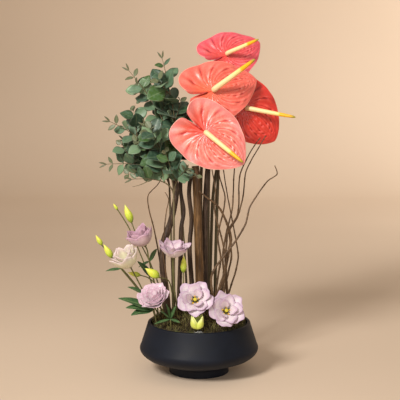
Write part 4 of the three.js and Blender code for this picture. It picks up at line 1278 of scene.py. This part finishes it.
# %% Leaf tufts
TUFTS = {
    "lisianthus_leaves_low": ([-72, -30], [-90, -40, 34], 22,
                              [[-158, -50, 62], [-144, -58, 44], [-134, -64, 30]]),
    "lisianthus_leaves_front": ([-54, -62], [-56, -66, 20], 7, [
        [-88, -84, 16], [-76, -80, 42], [-62, -82, 54], [-46, -78, 50], [-38, -90, 20]]),
}
for number, (node, (foot, crown, width, tips)) in enumerate(TUFTS.items()):
    stalk, leaves = Grids(), Grids()
    stalk.add(stem_skin([[*foot, STEM_FOOT], crown], 3, 1.8, 1.5), wrap=True)
    for k, tip in enumerate(tips):
        add_blade(leaves, crown, tip, width, scatter(number, k))
    place_above_rim(leaves, f"{node}_blades", leaf_green.material, node, 0.5 * MM)
    place_above_rim(stalk, f"{node}_stalk", stem_green.material, node)
print("leaf tufts:", len(TUFTS))

# %% [markdown]
# ## Room, light and camera
# A pale warm sweep of card carries on from the floor up the wall. It could be a plane and a
# wall, but a sweep leaves no line behind the flowers. The wall stands clear of a camera that
# goes round the object. A key lamp stands high at the front left, so that shadows fall to the
# back right, a wide one fills from the front, and a third washes the right of the wall.

# %% Floor
FRONT_EDGE = -3.2  # metres
WALL_STARTS = 2.5
SWEEP_RADIUS = 0.9
WALL_RISES = 2.2
FLAT = 0.55  # the share of the rows that lies flat
depth = np.linspace(0, 1, 60)
run = np.maximum(0, depth - FLAT) / (1 - FLAT)
flat_y = FRONT_EDGE + depth / FLAT * (WALL_STARTS - FRONT_EDGE)
floor_y = np.where(depth < FLAT, flat_y, WALL_STARTS + SWEEP_RADIUS * np.sin(run * np.pi / 2))
floor_z = SWEEP_RADIUS * (1 - np.cos(run * np.pi / 2))
floor_z[-1] += WALL_RISES
x = np.linspace(4, -4, 9)
card = np.stack(np.broadcast_arrays(x, floor_y[:, None], floor_z[:, None]), -1)
sweep = single("floor_card", card[:, ::-1], wrap=False)
paper = Finish("warm card", Roughness=0.85, Specular_IOR_Level=0.2)
paper.paint(paper.ramp(paper.noise(900, detail=1), (0.3, (214, 194, 172)), (0.7, (220, 200, 178))))
sweep.data.materials.append(paper.material)
sweep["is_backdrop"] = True


# %% Lamps
def lamp(name, at, aim, power, size, colour, spread):
    """A square soft lamp, aimed at a point, whose light spreads over so many degrees."""
    light = bpy.data.lights.new(name, "AREA")
    light.spread = math.radians(spread)
    light.energy = power
    light.size = size
    light.color = colour
    holder = bpy.data.objects.new(name, light)
    holder.location = at
    holder.rotation_euler = (Vector(aim) - Vector(at)).to_track_quat("-Z", "Y").to_euler()
    bpy.context.scene.collection.objects.link(holder)


LAMP_WHITE = (1.0, 0.96, 0.92)
lamp("key", (-1.25, -2.15, 2.0), (0.45, 0.7, 0.3), 18, 0.7, LAMP_WHITE, 75)
lamp("fill", (0.6, -2.9, 1.2), (0, 0, 0.3), 7, 1.2, LAMP_WHITE, 120)
lamp("wash", (2.3, 0.9, 1.8), (1.5, 3.4, 0.8), 30, 0.8, LAMP_WHITE, 120)
world = bpy.data.worlds.new("studio air")
world.use_nodes = True
air = world.node_tree.nodes["Background"]
air.inputs["Color"].default_value = (1.0, 0.87, 0.74, 1)
air.inputs["Strength"].default_value = 0.45
bpy.context.scene.world = world
bpy.context.scene.view_settings.view_transform = "Standard"

# %% Camera
LENS = 109.1  # millimetres, for a sensor 36 wide
LOOKS_DOWN = 8.02  # degrees below the level
lens = bpy.data.cameras.new("camera")
lens.sensor_width = 36
lens.lens = LENS
camera = bpy.data.objects.new("camera", lens)
camera.location = (0.002, -2.4, 0.690)
camera.rotation_euler = (math.radians(90 - LOOKS_DOWN), 0, 0)
bpy.context.scene.collection.objects.link(camera)
bpy.context.scene.camera = camera
print("camera:", LENS, "mm lens, looking", LOOKS_DOWN, "degrees down")

# %% Sizes and finish
visual_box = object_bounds()
for label, (low, high) in (("CAD", cad_box), ("visual", visual_box)):
    print(label, [round(v / MM, 1) for v in low], [round(v / MM, 1) for v in high])
